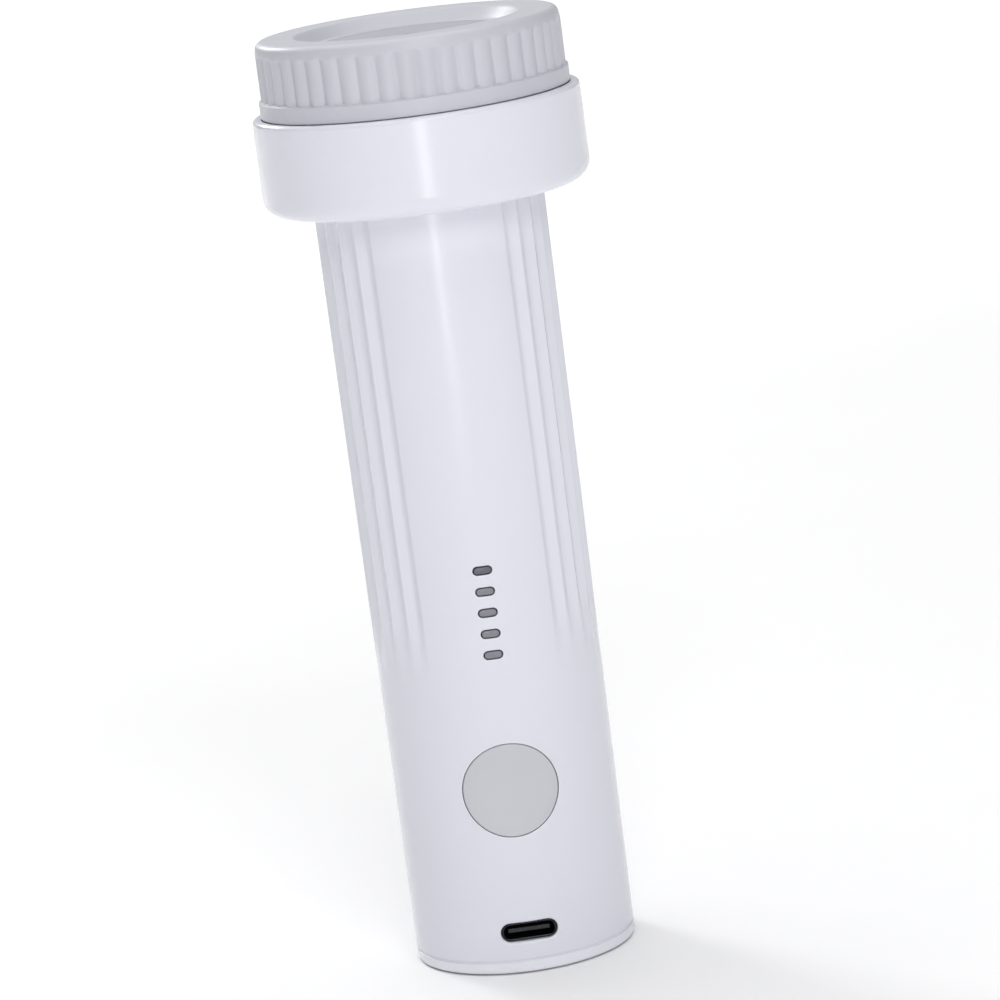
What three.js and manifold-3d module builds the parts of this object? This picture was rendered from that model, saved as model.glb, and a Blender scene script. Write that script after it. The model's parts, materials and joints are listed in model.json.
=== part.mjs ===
// A cordless handheld vacuum sealer that stands upright on its round base.
// Millimetres, +Z up, the button and lights face -Y, and the origin is the centre of the underside.
// Angles named "turn" are measured from the front (-Y) towards +X.

import * as THREE from 'three';
import { mergeVertices } from 'three/addons/utils/BufferGeometryUtils.js';
import Module from 'manifold-3d';

const wasm = await Module();
wasm.setup();

// ---------------------------------------------------------------- driving dimensions
const GAP = 0.3;                      // left between pieces that meet
const DEGREE = Math.PI / 180;

const BASE_RADIUS = 17.5;             // body radius at the foot
const BODY_TAPER = 0.0046;            // growth of the body radius per mm of height
const BODY_INSIDE = 15.9;             // radius inside the body tube
const CAP_TOP = 1.75;                 // base cap rim ends here, and the body tube starts above it
const TUBE_BOTTOM = CAP_TOP + GAP;
const TUBE_TOP = 127.2;
const PANEL_TURN = 38.5;              // half angle of the plain front and back panels
const FLUTES = 9;                     // convex flutes on each side
const FLUTE_DEPTH = 0.5;
const FLUTE_SHAPE = 2.5;              // the higher, the narrower the valleys between flutes
const FLUTE_FADE = [46, 61];          // heights between which the flutes grow to full depth

const BUTTON_HEIGHT = 29.6;
const BUTTON_HOLE_RADIUS = 7.6;
const BUTTON_RADIUS = 7.35;
const LIGHTS = 5;
const LIGHT_FIRST_HEIGHT = 51.5;
const LIGHT_PITCH = 3.37;
const LIGHT_SIZE = [2.7, 1.05];       // width and height of one light window
const LIGHT_CLEARANCE = 0.2;
const USB_HEIGHT = 6.6;
const USB_OPENING = [9.2, 3.4];       // width and height of the opening round the charging socket
const USB_SHELL = [8.94, 3.2];
const USB_WALL = 0.35;

const COLLAR_BOTTOM = 121.7;
const COLLAR_TOP = 136.9;
const COLLAR_RADIUS = 25.7;           // at the bottom; the top is drafted in by COLLAR_DRAFT
const COLLAR_DRAFT = 0.1;
const COLLAR_INSIDE = 24.1;
const COLLAR_FLOOR = 124.2;
const SLEEVE_TOP = 131.5;             // inner sleeve of the collar, which caps the body tube
const LIP_BOTTOM = TUBE_TOP + GAP;

const RING_BOTTOM = 137.2;
const RING_FLANGE_TOP = 139.5;
const RING_FLANGE_RADIUS = 24.2;
const RIB_TOP = 146.8;
const RIB_COUNT = 48;
const RIB_DEPTH = 0.45;
const RIB_RADIUS = 23.85;             // over the crests
const RING_TOP = 148.75;
const RING_TOP_RADIUS = 23.0;         // outer edge of the flat sealing face
const MOUTH_RADIUS = 17.3;            // inner edge of the flat sealing face
const MOUTH_THROAT = 15.0;            // radius at the foot of the mouth's slope
const MOUTH_FLOOR = 146.95;           // height of the foot of that slope
const RING_PLATE_BOTTOM = 146.8;      // underside of the ring's top plate
const SKIRT_RADIUS = 22.2;            // threaded skirt of the ring, inside the collar
const SKIRT_INSIDE = 21.1;
const SKIRT_BOTTOM = 125.6;

const THREAD_PITCH = 3;
const THREAD_TURNS = 1.25;
const THREAD_HEIGHT = 1.4;            // along the axis, at the root
const MALE_THREAD_Z = 127.4;          // middle of the ring's thread where it starts
const FEMALE_THREAD_Z = MALE_THREAD_Z + THREAD_PITCH / 2;

const DECK_BOTTOM = 132.7;
const DECK_TOP = 134.5;
const DECK_RADIUS = 20;
const DECK_SCREW_CIRCLE = 16;
const DECK_SCREW_TURNS = [60, 180, 300];

const CUP_FLANGE = [139.4, 141.0];    // bottom and top of the filter cup's floor and flange
const CUP_TOP = 145.6;
const CUP_RADIUS = 14.7;
const CUP_INSIDE = 13.4;
const INLET_PLATE = [145.9, 146.9];   // bottom and top of the plate that closes the cup
const INLET_HOLE = 0.5;               // radius of its seven holes
const INLET_CIRCLE = 1.75;            // six of them stand on this radius
const KEY_DISTANCE = 10;              // keys that stop the filter cup turning
const KEY_SIZE = [1.8, 3.2];

const BOARD_FACE = -9.9;              // y of the board's front face
const BOARD_THICKNESS = 1.2;
const BOARD_HALF_WIDTH = 11.6;
const CHASSIS_BOTTOM = 5.4;
const CHASSIS_TOP = 118.7;
const CHASSIS_RADIUS = 15.5;
const CHASSIS_INSIDE = 13.9;
const CELL_RADIUS = 9.2;              // 18650-size cell with its wrap
const CELL_LENGTH = 65.2;
const CELL_BOTTOM = 9.6;
const CELL_Y = 4.4;

const MOTOR_BOTTOM = 78.7;
const MOTOR_TOP = 109.8;
const MOTOR_RADIUS = 12.2;
const PUMP_RADIUS = 13.3;
const PUMP_SCREW_CIRCLE = 11.2;
const PUMP_BOTTOM = 110.1;
const CRANK_OFFSET = 0.8;

const TALL = 200;                     // higher than the object, for tools that cut through it
const FRONT_CUT = [-10, -20];         // y range of the tools that cut the front wall

// ---------------------------------------------------------------- looks
const WHITE = { color: 0xeeeef4, roughness: 0.35, metalness: 0 };
const GREY = { color: 0xc9cad2, roughness: 0.7, metalness: 0 };
const BUTTON_GREY = { color: 0xcdd0d4, roughness: 0.5, metalness: 0 };
const LENS = { color: 0x86868f, roughness: 0.25, metalness: 0 };
const BLACK = { color: 0x1b1d22, roughness: 0.55, metalness: 0 };
const NATURAL = { color: 0xd9d9d2, roughness: 0.55, metalness: 0 };
const STEEL = { color: 0xb4b6ba, roughness: 0.3, metalness: 1 };
const COPPER = { color: 0xb87333, roughness: 0.4, metalness: 1 };
const RUBBER = { color: 0x2a2a2c, roughness: 0.85, metalness: 0 };
const SILICONE = { color: 0xe6e6e6, roughness: 0.6, metalness: 0 };
const BOARD_GREEN = { color: 0x1f5c3a, roughness: 0.45, metalness: 0 };
const CELL_BLUE = { color: 0x2f6fb0, roughness: 0.4, metalness: 0 };
const MAGNET = { color: 0x3b3b3d, roughness: 0.7, metalness: 0.2 };
const FOAM = { color: 0x55585c, roughness: 1, metalness: 0 };
const LED_WHITE = { color: 0xf4f1d8, roughness: 0.4, metalness: 0 };

// ---------------------------------------------------------------- shape helpers
function signedVolume(points, corners) {
  const a = new THREE.Vector3();
  const b = new THREE.Vector3();
  const c = new THREE.Vector3();
  let total = 0;
  for (let i = 0; i < corners.length; i += 3) {
    a.fromArray(points, 3 * corners[i]);
    b.fromArray(points, 3 * corners[i + 1]);
    c.fromArray(points, 3 * corners[i + 2]);
    total += a.dot(b.cross(c));
  }
  return total;
}

/** A closed three.js geometry as a solid that can be joined and cut. */
function solid(geometry) {
  const bare = geometry.clone();
  bare.deleteAttribute('normal');
  bare.deleteAttribute('uv');
  const welded = mergeVertices(bare);
  const vertProperties = new Float32Array(welded.attributes.position.array);
  const corners = Array.from(welded.index.array);
  const kept = [];
  for (let i = 0; i < corners.length; i += 3) {
    const [a, b, c] = corners.slice(i, i + 3);
    if (a !== b && b !== c && c !== a) kept.push(a, b, c);
  }
  if (signedVolume(vertProperties, kept) < 0) kept.reverse();
  return new wasm.Manifold(new wasm.Mesh({ numProp: 3, vertProperties, triVerts: new Uint32Array(kept) }));
}

/** Turns a closed outline of [radius, height] points about Z. It may start and end on the axis. */
function revolve(outline, segments = 24) {
  const points = outline.map(([r, z]) => new THREE.Vector2(r, z));
  if (outline[0][0] !== 0) points.push(points[0].clone());
  return solid(new THREE.LatheGeometry(points, segments).rotateX(Math.PI / 2));
}

/** Points of an arc for an outline, angles in degrees from +r towards +z. */
function arc(r, z, radius, from, to, steps = 3) {
  const points = [];
  for (let i = 0; i <= steps; i += 1) {
    const angle = (from + ((to - from) * i) / steps) * DEGREE;
    points.push([r + radius * Math.cos(angle), z + radius * Math.sin(angle)]);
  }
  return points;
}

/** An upright cylinder. */
function drum(radius, bottom, top, { x = 0, y = 0, segments = 20 } = {}) {
  const geometry = new THREE.CylinderGeometry(radius, radius, top - bottom, segments);
  return solid(geometry.rotateX(Math.PI / 2).translate(x, y, (bottom + top) / 2));
}

/** A cylinder along Y, from y = rear to y = front, centred at height z. */
function rod(radius, rear, front, z, segments = 24) {
  const geometry = new THREE.CylinderGeometry(radius, radius, rear - front, segments);
  return solid(geometry.translate(0, (rear + front) / 2, z));
}

/** A box between two corners. */
function block(low, high) {
  const size = high.map((value, i) => value - low[i]);
  const middle = high.map((value, i) => (value + low[i]) / 2);
  return solid(new THREE.BoxGeometry(...size).translate(...middle));
}

/** A rounded slot shape along Y, from y = rear to y = front, centred at height z. */
function slot(width, height, rear, front, z, corner = height / 2, steps = 1) {
  const shape = new THREE.Shape();
  const x = width / 2 - corner;
  const y = height / 2 - corner;
  shape.absarc(x, y, corner, 0, Math.PI / 2);
  shape.absarc(-x, y, corner, Math.PI / 2, Math.PI);
  shape.absarc(-x, -y, corner, Math.PI, 1.5 * Math.PI);
  shape.absarc(x, -y, corner, 1.5 * Math.PI, 2 * Math.PI);
  const options = { depth: rear - front, bevelEnabled: false, curveSegments: steps };
  return solid(new THREE.ExtrudeGeometry(shape, options).rotateX(Math.PI / 2).translate(0, rear, z));
}

/** A strip with a constant width in X, whose outline is drawn in Y and Z. */
function strip(width, outline) {
  const shape = new THREE.Shape(outline.map(([y, z]) => new THREE.Vector2(y, z)));
  const geometry = new THREE.ExtrudeGeometry(shape, { depth: width, bevelEnabled: false });
  return solid(geometry.translate(0, 0, -width / 2).rotateY(Math.PI / 2).rotateX(Math.PI / 2));
}

/** x and y of a point at a radius and a turn from the front. */
function polar(radius, turn) {
  return [radius * Math.sin(turn * DEGREE), -radius * Math.cos(turn * DEGREE)];
}

/** A helical ridge that starts at the front: a long thin box bent round Z, thinner at its crest. */
function ridge(root, crest, startZ) {
  const stepsPerTurn = 24;
  const steps = Math.round(THREAD_TURNS * stepsPerTurn);
  const geometry = new THREE.BoxGeometry(1, 1, 1, 1, 1, steps);
  const place = geometry.attributes.position;
  for (let i = 0; i < place.count; i += 1) {
    const along = place.getZ(i) + 0.5;
    const atCrest = place.getX(i) > 0;
    const radius = atCrest ? crest : root;
    const height = THREAD_HEIGHT * (atCrest ? 0.5 : 1);
    const angle = along * THREAD_TURNS * 2 * Math.PI;
    const z = startZ + along * THREAD_TURNS * THREAD_PITCH + place.getY(i) * height;
    place.setXYZ(i, radius * Math.sin(angle), -radius * Math.cos(angle), z);
  }
  return solid(geometry);
}

/** An upright cylinder moved onto a contour: radiusAt(turn, z) at the turns and heights listed. */
function contoured(turns, heights, radiusAt) {
  const geometry = new THREE.CylinderGeometry(1, 1, 1, turns.length, heights.length - 1);
  const place = geometry.rotateX(Math.PI / 2).attributes.position;
  for (let i = 0; i < place.count; i += 1) {
    const x = place.getX(i);
    const y = place.getY(i);
    const z = heights[Math.round((place.getZ(i) + 0.5) * (heights.length - 1))];
    const part = (Math.atan2(x, -y) / (2 * Math.PI) + 1) * turns.length;
    const turn = turns[Math.round(part) % turns.length];
    const radius = Math.hypot(x, y) < 0.5 ? 0 : radiusAt(turn, z);
    place.setXYZ(i, ...polar(radius, turn), z);
  }
  return solid(geometry);
}

function join(...shapes) {
  return shapes.reduce((whole, shape) => whole.add(shape));
}

function cut(shape, ...tools) {
  return tools.reduce((whole, tool) => whole.subtract(tool), shape);
}

/** A named mesh of a solid, with a material of its own. */
function piece(name, shape, look) {
  const { vertProperties, triVerts } = shape.getMesh();
  const geometry = new THREE.BufferGeometry();
  geometry.setAttribute('position', new THREE.BufferAttribute(new Float32Array(vertProperties), 3));
  geometry.setIndex(new THREE.BufferAttribute(new Uint32Array(triVerts), 1));
  geometry.computeVertexNormals();
  const mesh = new THREE.Mesh(geometry, new THREE.MeshStandardMaterial(look));
  mesh.name = name;
  return mesh;
}

function assembly(...meshes) {
  const group = new THREE.Group();
  group.add(...meshes.flat());
  return group;
}

// ---------------------------------------------------------------- casing
function bodyRadius(z) {
  return BASE_RADIUS + BODY_TAPER * z;
}

/** Turns at which the body's outline has its points: a few on each panel and two on each flute. */
function bodyTurns() {
  const half = [];
  const panelSteps = 3;
  const fluteTurn = (180 - 2 * PANEL_TURN) / FLUTES;
  for (let i = 0; i < panelSteps; i += 1) half.push((PANEL_TURN * i) / panelSteps);
  for (let i = 0; i < 2 * FLUTES; i += 1) half.push(PANEL_TURN + (fluteTurn * i) / 2);
  for (let i = 0; i < panelSteps; i += 1) half.push(180 - PANEL_TURN + (PANEL_TURN * i) / panelSteps);
  return [...half, ...half.map((turn) => turn + 180)];
}

function fluteDrop(turn, z) {
  const aside = Math.min(turn % 180, 180 - (turn % 180));
  const rounding = 0.01;
  if (aside < PANEL_TURN - rounding) return 0;
  const across = (((turn % 180) - PANEL_TURN) * FLUTES) / (180 - 2 * PANEL_TURN);
  const grown = THREE.MathUtils.smoothstep(z, ...FLUTE_FADE);
  return FLUTE_DEPTH * grown * Math.abs(Math.cos(Math.PI * across)) ** FLUTE_SHAPE;
}

function lightHeight(i) {
  return LIGHT_FIRST_HEIGHT + i * LIGHT_PITCH;
}

function lightOpenings() {
  const [width, height] = LIGHT_SIZE.map((size) => size + 2 * LIGHT_CLEARANCE);
  return Array.from({ length: LIGHTS }, (_, i) => slot(width, height, ...FRONT_CUT, lightHeight(i)));
}

/** Bosses inside the top of the tube, with blind holes for the deck screws. */
function tubeBoss(turn) {
  const [x, y] = polar(DECK_SCREW_CIRCLE, turn);
  const bossRadius = 2.1;
  const rooted = BODY_INSIDE + 0.6;
  const boss = drum(bossRadius, CHASSIS_TOP + GAP, TUBE_TOP, { x, y, segments: 12 });
  return boss.intersect(drum(rooted, 0, TALL, { segments: 36 }));
}

function deckScrewHoles(radius, bottom) {
  return DECK_SCREW_TURNS.map((turn) => {
    const [x, y] = polar(DECK_SCREW_CIRCLE, turn);
    return drum(radius, bottom, TALL, { x, y, segments: 8 });
  });
}

function bodyTube() {
  const [fadeStart, fadeEnd] = FLUTE_FADE;
  const pilotRadius = 1.2;
  const pilotBottom = 120.4;
  const heights = [TUBE_BOTTOM, fadeStart, (fadeStart + fadeEnd) / 2, fadeEnd, TUBE_TOP];
  const outside = contoured(bodyTurns(), heights, (turn, z) => bodyRadius(z) - fluteDrop(turn, z));
  const wall = outside.subtract(drum(BODY_INSIDE, 0, TALL, { segments: 36 }));
  const bossed = join(wall, ...DECK_SCREW_TURNS.map(tubeBoss));
  const buttonHole = rod(BUTTON_HOLE_RADIUS, ...FRONT_CUT, BUTTON_HEIGHT, 32);
  const usbHole = slot(...USB_OPENING, ...FRONT_CUT, USB_HEIGHT, USB_OPENING[1] / 2, 2);
  return cut(bossed, buttonHole, usbHole, ...lightOpenings(), ...deckScrewHoles(pilotRadius, pilotBottom));
}

const BASE_SCREW_X = 9;
const BASE_SCREW_Y = 6;
const PLUG_RADIUS = 15.5;
const PLUG_INSIDE = 13.9;
const PLUG_TOP = 3.9;
const SCREW_SEAT = 2.4;               // radius and depth of the recess for each base screw's head
const BASE_SCREW = { headRadius: 2, headHeight: 1.3, shankRadius: 1, length: 5.8 };
const BASE_SCREW_SUNK = 0.7;          // distance of the screw heads above the underside

function baseCap() {
  const edge = 0.9;
  const rim = revolve([
    [0, 0],
    ...arc(BASE_RADIUS - edge, edge, edge, -90, 0),
    [BASE_RADIUS, CAP_TOP],
    [PLUG_RADIUS, CAP_TOP],
    [PLUG_RADIUS, PLUG_TOP],
    [PLUG_INSIDE, PLUG_TOP],
    [PLUG_INSIDE, CAP_TOP],
    [0, CAP_TOP],
  ], 32);
  const pads = [];
  const holes = [];
  const padRadius = 3.5;
  const rooted = CAP_TOP - 0.5;
  const shankHole = BASE_SCREW.shankRadius + 0.35;
  for (const x of [-BASE_SCREW_X, BASE_SCREW_X]) {
    pads.push(drum(padRadius, rooted, CHASSIS_BOTTOM - GAP, { x, y: BASE_SCREW_Y, segments: 16 }));
    holes.push(drum(SCREW_SEAT, -1, SCREW_SEAT, { x, y: BASE_SCREW_Y, segments: 16 }));
    holes.push(drum(shankHole, -1, TALL, { x, y: BASE_SCREW_Y, segments: 12 }));
  }
  return cut(join(rim, ...pads), ...holes);
}

/** A cap screw pointing up, standing on z = 0 at its head. */
function screw({ headRadius, headHeight, shankRadius, length }) {
  const overlap = 0.2;
  const head = drum(headRadius, 0, headHeight, { segments: 12 });
  const shank = drum(shankRadius, headHeight - overlap, headHeight + length, { segments: 8 });
  const socket = drum(headRadius * 0.45, -1, headHeight / 2, { segments: 6 });
  return head.add(shank).subtract(socket);
}

function baseScrews() {
  return [-BASE_SCREW_X, BASE_SCREW_X].map((x, i) => {
    const mesh = piece(`base_screw_${i + 1}`, screw(BASE_SCREW), STEEL);
    mesh.position.set(x, BASE_SCREW_Y, BASE_SCREW_SUNK);
    return mesh;
  });
}

const DECK_SCREW_HOLE = 1.3;
const DECK_SCREW = { headRadius: 1.9, headHeight: 1.3, shankRadius: 0.95, length: 14 };

/** The white head collar: a cup open upwards, with an inner sleeve that sits over the body tube. */
function headCollar() {
  const bottomRound = 3;
  const topRound = 1.1;
  const topRadius = COLLAR_RADIUS - COLLAR_DRAFT;
  const bore = bodyRadius(COLLAR_BOTTOM) + GAP;
  const boreEdge = 0.5;
  const sleeveRadius = 20.2;
  const lipInside = 14.2;
  const threadRoot = COLLAR_INSIDE + 0.3;
  const threadCrest = COLLAR_INSIDE - 1.4;
  const shell = revolve([
    [bore + boreEdge, COLLAR_BOTTOM],
    ...arc(COLLAR_RADIUS - bottomRound, COLLAR_BOTTOM + bottomRound, bottomRound, -90, 0, 4),
    ...arc(topRadius - topRound, COLLAR_TOP - topRound, topRound, 0, 90, 2),
    [COLLAR_INSIDE, COLLAR_TOP],
    [COLLAR_INSIDE, COLLAR_FLOOR],
    [sleeveRadius, COLLAR_FLOOR],
    [sleeveRadius, SLEEVE_TOP],
    [lipInside, SLEEVE_TOP],
    [lipInside, LIP_BOTTOM],
    [bore, LIP_BOTTOM],
    [bore, COLLAR_BOTTOM + boreEdge],
  ], 36);
  const thread = ridge(threadRoot, threadCrest, FEMALE_THREAD_Z);
  return cut(shell.add(thread), ...deckScrewHoles(DECK_SCREW_HOLE, COLLAR_BOTTOM));
}

// ---------------------------------------------------------------- head: deck, filter cup and ring
const SPIGOT_RADIUS = 4;
const SPIGOT_TOP = 138.6;
const NIPPLE_RADIUS = 1.9;
const PORT_BORE = 1;
const NIPPLE_BOTTOM = 130.6;

function headDeck() {
  const disc = revolve([
    [PORT_BORE, NIPPLE_BOTTOM],
    [NIPPLE_RADIUS, NIPPLE_BOTTOM],
    [NIPPLE_RADIUS, DECK_BOTTOM],
    [DECK_RADIUS, DECK_BOTTOM],
    [DECK_RADIUS, DECK_TOP],
    [SPIGOT_RADIUS, DECK_TOP],
    [SPIGOT_RADIUS, SPIGOT_TOP],
    [PORT_BORE, SPIGOT_TOP],
  ], 24);
  const [halfX, halfY] = [KEY_SIZE[0] / 2 + 0.4, KEY_SIZE[1] / 2 + 0.4];
  const keyways = [-KEY_DISTANCE, KEY_DISTANCE].map((x) =>
    block([x - halfX, -halfY, DECK_BOTTOM - 1], [x + halfX, halfY, DECK_TOP + 1]));
  return cut(disc, ...keyways, ...deckScrewHoles(DECK_SCREW_HOLE, COLLAR_BOTTOM));
}

function deckGasket() {
  const [inside, outside] = [17.7, 19.8];
  const [bottom, top] = [SLEEVE_TOP + GAP, DECK_BOTTOM - GAP];
  return revolve([[inside, bottom], [outside, bottom], [outside, top], [inside, top]], 28);
}

function deckScrews() {
  const headTop = DECK_TOP + GAP + DECK_SCREW.headHeight;
  return DECK_SCREW_TURNS.map((turn, i) => {
    const mesh = piece(`deck_screw_${i + 1}`, screw(DECK_SCREW), STEEL);
    mesh.rotation.x = Math.PI;
    mesh.position.set(...polar(DECK_SCREW_CIRCLE, turn), headTop);
    return mesh;
  });
}

/** The O-ring round the spigot, inside the filter cup's socket. */
function portORing() {
  const [radius, thickness, z] = [4.8, 0.5, 136.6];
  return solid(new THREE.TorusGeometry(radius, thickness, 6, 20).translate(0, 0, z));
}

function filterCup() {
  const [floor, flange] = CUP_FLANGE;
  const flangeRadius = 19.5;
  const drain = 2.5;
  const socket = [5.6, 7.2];
  const socketBottom = 135.2;
  const cup = revolve([
    [drain, floor],
    [socket[0], floor],
    [socket[0], socketBottom],
    [socket[1], socketBottom],
    [socket[1], floor],
    [flangeRadius, floor],
    [flangeRadius, flange],
    [CUP_RADIUS, flange],
    [CUP_RADIUS, CUP_TOP],
    [CUP_INSIDE, CUP_TOP],
    [CUP_INSIDE, flange],
    [drain, flange],
  ], 28);
  const [halfX, halfY] = [KEY_SIZE[0] / 2, KEY_SIZE[1] / 2];
  const keys = [-KEY_DISTANCE, KEY_DISTANCE].map((x) =>
    block([x - halfX, -halfY, DECK_BOTTOM + GAP], [x + halfX, halfY, floor + GAP]));
  return join(cup, ...keys);
}

function filterFoam() {
  return drum(CUP_INSIDE - GAP, CUP_FLANGE[1] + GAP, CUP_TOP, { segments: 32 });
}

/** The plate that closes the filter cup: the floor of the mouth, with a cluster of small inlet holes. */
function inletPlate() {
  const [bottom, top] = INLET_PLATE;
  const disc = drum(CUP_RADIUS, bottom, top, { segments: 48 });
  const places = [[0, 0]];
  for (let turn = 0; turn < 360; turn += 60) places.push(polar(INLET_CIRCLE, turn));
  return cut(disc, ...places.map(([x, y]) => drum(INLET_HOLE, 0, TALL, { x, y, segments: 12 })));
}

function ribRadius(rib, z) {
  if (z <= RING_FLANGE_TOP) return RING_FLANGE_RADIUS;
  const shoulder = 23.7;
  if (z > RIB_TOP) return THREE.MathUtils.mapLinear(z, RIB_TOP, RING_TOP, shoulder, RING_TOP_RADIUS);
  return RIB_RADIUS - (rib % 2 === 0 ? RIB_DEPTH : 0);
}

/** The grey grip ring: ribbed outside, a flat sealing face on top and a threaded skirt below. */
function gripRing() {
  const count = 2 * RIB_COUNT;
  const turns = Array.from({ length: count }, (_, i) => (360 * i) / count);
  const ledge = 0.15;
  const rooted = RING_BOTTOM + 0.5;
  const pocket = 16.6;
  const chamferMiddle = 148.0;
  const heights = [RING_BOTTOM, RING_FLANGE_TOP, RING_FLANGE_TOP + ledge, RIB_TOP, chamferMiddle, RING_TOP];
  const outside = contoured(turns, heights, (turn, z) => ribRadius(Math.round((turn * count) / 360), z));
  const skirt = revolve([
    [0, SKIRT_BOTTOM], [SKIRT_RADIUS, SKIRT_BOTTOM], [SKIRT_RADIUS, rooted], [0, rooted],
  ], 32);
  const threadRoot = SKIRT_RADIUS - 0.3;
  const threadCrest = SKIRT_RADIUS + 1.2;
  const thread = ridge(threadRoot, threadCrest, MALE_THREAD_Z);
  const hollow = revolve([
    [0, SKIRT_BOTTOM - 1],
    [SKIRT_INSIDE, SKIRT_BOTTOM - 1],
    [SKIRT_INSIDE, RING_PLATE_BOTTOM],
    [pocket, RING_PLATE_BOTTOM],
    [pocket, CUP_FLANGE[1] + GAP],
    [MOUTH_THROAT, CUP_FLANGE[1] + GAP],
    [MOUTH_THROAT, MOUTH_FLOOR],
    [MOUTH_RADIUS, RING_TOP],
    [MOUTH_RADIUS, RING_TOP + 1],
    [0, RING_TOP + 1],
  ], 32);
  return join(outside, skirt, thread).subtract(hollow);
}

/** The flat clip that holds the filter cup's flange up inside the ring. */
function ringClip() {
  const [inside, outside] = [16.5, SKIRT_INSIDE - GAP];
  const [bottom, top] = [137.8, CUP_FLANGE[0] - GAP];
  return revolve([[inside, bottom], [outside, bottom], [outside, top], [inside, top]], 28);
}

// ---------------------------------------------------------------- controls on the front
const WINDOW_REAR = -12.6;
const BUTTON_FLANGE = 8.4;
const BUTTON_FLANGE_FRONT = -13.1;
const BUTTON_REAR = -12.2;
const PLUNGER_RADIUS = 1.6;

function lightWindows() {
  return Array.from({ length: LIGHTS }, (_, i) => {
    const face = -Math.sqrt(bodyRadius(lightHeight(i)) ** 2 - (LIGHT_SIZE[0] / 2) ** 2);
    const mesh = piece(`light_window_${i + 1}`, slot(...LIGHT_SIZE, WINDOW_REAR, face, 0), LENS);
    mesh.position.z = lightHeight(i);
    return mesh;
  });
}

function statusLeds() {
  const [halfWidth, halfHeight, rise] = [1, 0.62, 1.1];
  return Array.from({ length: LIGHTS }, (_, i) => {
    const low = [-halfWidth, BOARD_FACE - rise, -halfHeight];
    const high = [halfWidth, BOARD_FACE - GAP, halfHeight];
    const mesh = piece(`status_led_${i + 1}`, block(low, high), LED_WHITE);
    mesh.position.z = lightHeight(i);
    return mesh;
  });
}

/** The button cap follows the body's curve, with a retaining flange behind the wall. */
function powerButton() {
  const cap = rod(BUTTON_RADIUS, BUTTON_FLANGE_FRONT + 0.1, FRONT_CUT[1], BUTTON_HEIGHT, 32);
  const curve = drum(bodyRadius(BUTTON_HEIGHT), 0, TALL, { segments: 72 });
  const flange = rod(BUTTON_FLANGE, BUTTON_REAR, BUTTON_FLANGE_FRONT, BUTTON_HEIGHT);
  return cap.intersect(curve).add(flange);
}

function switchPlunger() {
  return rod(PLUNGER_RADIUS, BUTTON_REAR + GAP + 1, BUTTON_REAR + GAP, BUTTON_HEIGHT, 16);
}

function switchBody() {
  const half = 3;
  const front = -11.3;
  const z = BUTTON_HEIGHT;
  const housing = block([-half, front, z - half], [half, BOARD_FACE - GAP, z + half]);
  return housing.subtract(rod(PLUNGER_RADIUS + 0.35, BOARD_FACE + 1, front - 1, z, 16));
}

function usbShell() {
  const [width, height] = USB_SHELL;
  const corner = 1.3;
  const front = -16.7;
  const outer = slot(width, height, BOARD_FACE - GAP, front, USB_HEIGHT, corner);
  const inside = [width - 2 * USB_WALL, height - 2 * USB_WALL];
  const inner = slot(...inside, BOARD_FACE + 1, front - 1, USB_HEIGHT, corner - USB_WALL);
  return outer.subtract(inner);
}

function usbTongue() {
  const z = USB_HEIGHT;
  const [rootWidth, rootHeight, rootFront] = [7.5, 1.8, -11.6];
  const [halfWidth, halfHeight, front] = [3.35, 0.35, -15.9];
  const root = slot(rootWidth, rootHeight, BOARD_FACE - GAP, rootFront, z, 0.6);
  return root.add(block([-halfWidth, front, z - halfHeight], [halfWidth, rootFront + 0.6, z + halfHeight]));
}

/** The circuit board, with its soldered parts on the back. */
function controlBoard() {
  const back = BOARD_FACE + BOARD_THICKNESS;
  const [bottom, top] = [4.2, 69];
  const [sunk, rise] = [0.2, 1.1];
  const board = block([-BOARD_HALF_WIDTH, BOARD_FACE, bottom], [BOARD_HALF_WIDTH, back, top]);
  const chips = [                     // x, z, width, height
    [-4, 20, 5, 4],
    [5, 18, 3, 3],
    [4, 40, 4, 4],
    [-5, 44, 3, 6],
    [0, 58, 6, 3],
  ];
  const parts = chips.map(([x, z, width, height]) =>
    block([x - width / 2, back - sunk, z - height / 2], [x + width / 2, back + rise, z + height / 2]));
  return join(board, ...parts);
}

// ---------------------------------------------------------------- power pack and frame
/** A C-shaped channel that holds the cell and the motor, closed in front by the board. */
function chassis() {
  const front = BOARD_FACE + BOARD_THICKNESS + GAP;
  const channel = revolve([
    [CHASSIS_INSIDE, CHASSIS_BOTTOM], [CHASSIS_RADIUS, CHASSIS_BOTTOM],
    [CHASSIS_RADIUS, CHASSIS_TOP], [CHASSIS_INSIDE, CHASSIS_TOP],
  ], 36);
  const rooted = CHASSIS_RADIUS - 0.5;
  const footTop = 7;
  const [shelfBottom, shelfTop] = [76.6, 78.2];
  const [shelfHole, shelfFront] = [3.5, -5];
  const [bossRadius, bossTop] = [2.8, 8.6];
  const [pilotRadius, pilotTop] = [1.25, 8.1];
  const foot = drum(rooted, CHASSIS_BOTTOM, footTop, { segments: 36 });
  const shelf = cut(
    drum(rooted, shelfBottom, shelfTop, { segments: 36 }),
    drum(shelfHole, 0, TALL),
    block([-TALL, -TALL, 0], [TALL, shelfFront, TALL]),
  );
  const bosses = [];
  const holes = [];
  for (const x of [-BASE_SCREW_X, BASE_SCREW_X]) {
    bosses.push(drum(bossRadius, CHASSIS_BOTTOM, bossTop, { x, y: BASE_SCREW_Y }));
    holes.push(drum(pilotRadius, 0, pilotTop, { x, y: BASE_SCREW_Y, segments: 12 }));
  }
  const whole = join(channel, foot, shelf, ...bosses);
  return cut(whole, ...holes, block([-TALL, -TALL, 0], [TALL, front, TALL]));
}

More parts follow.
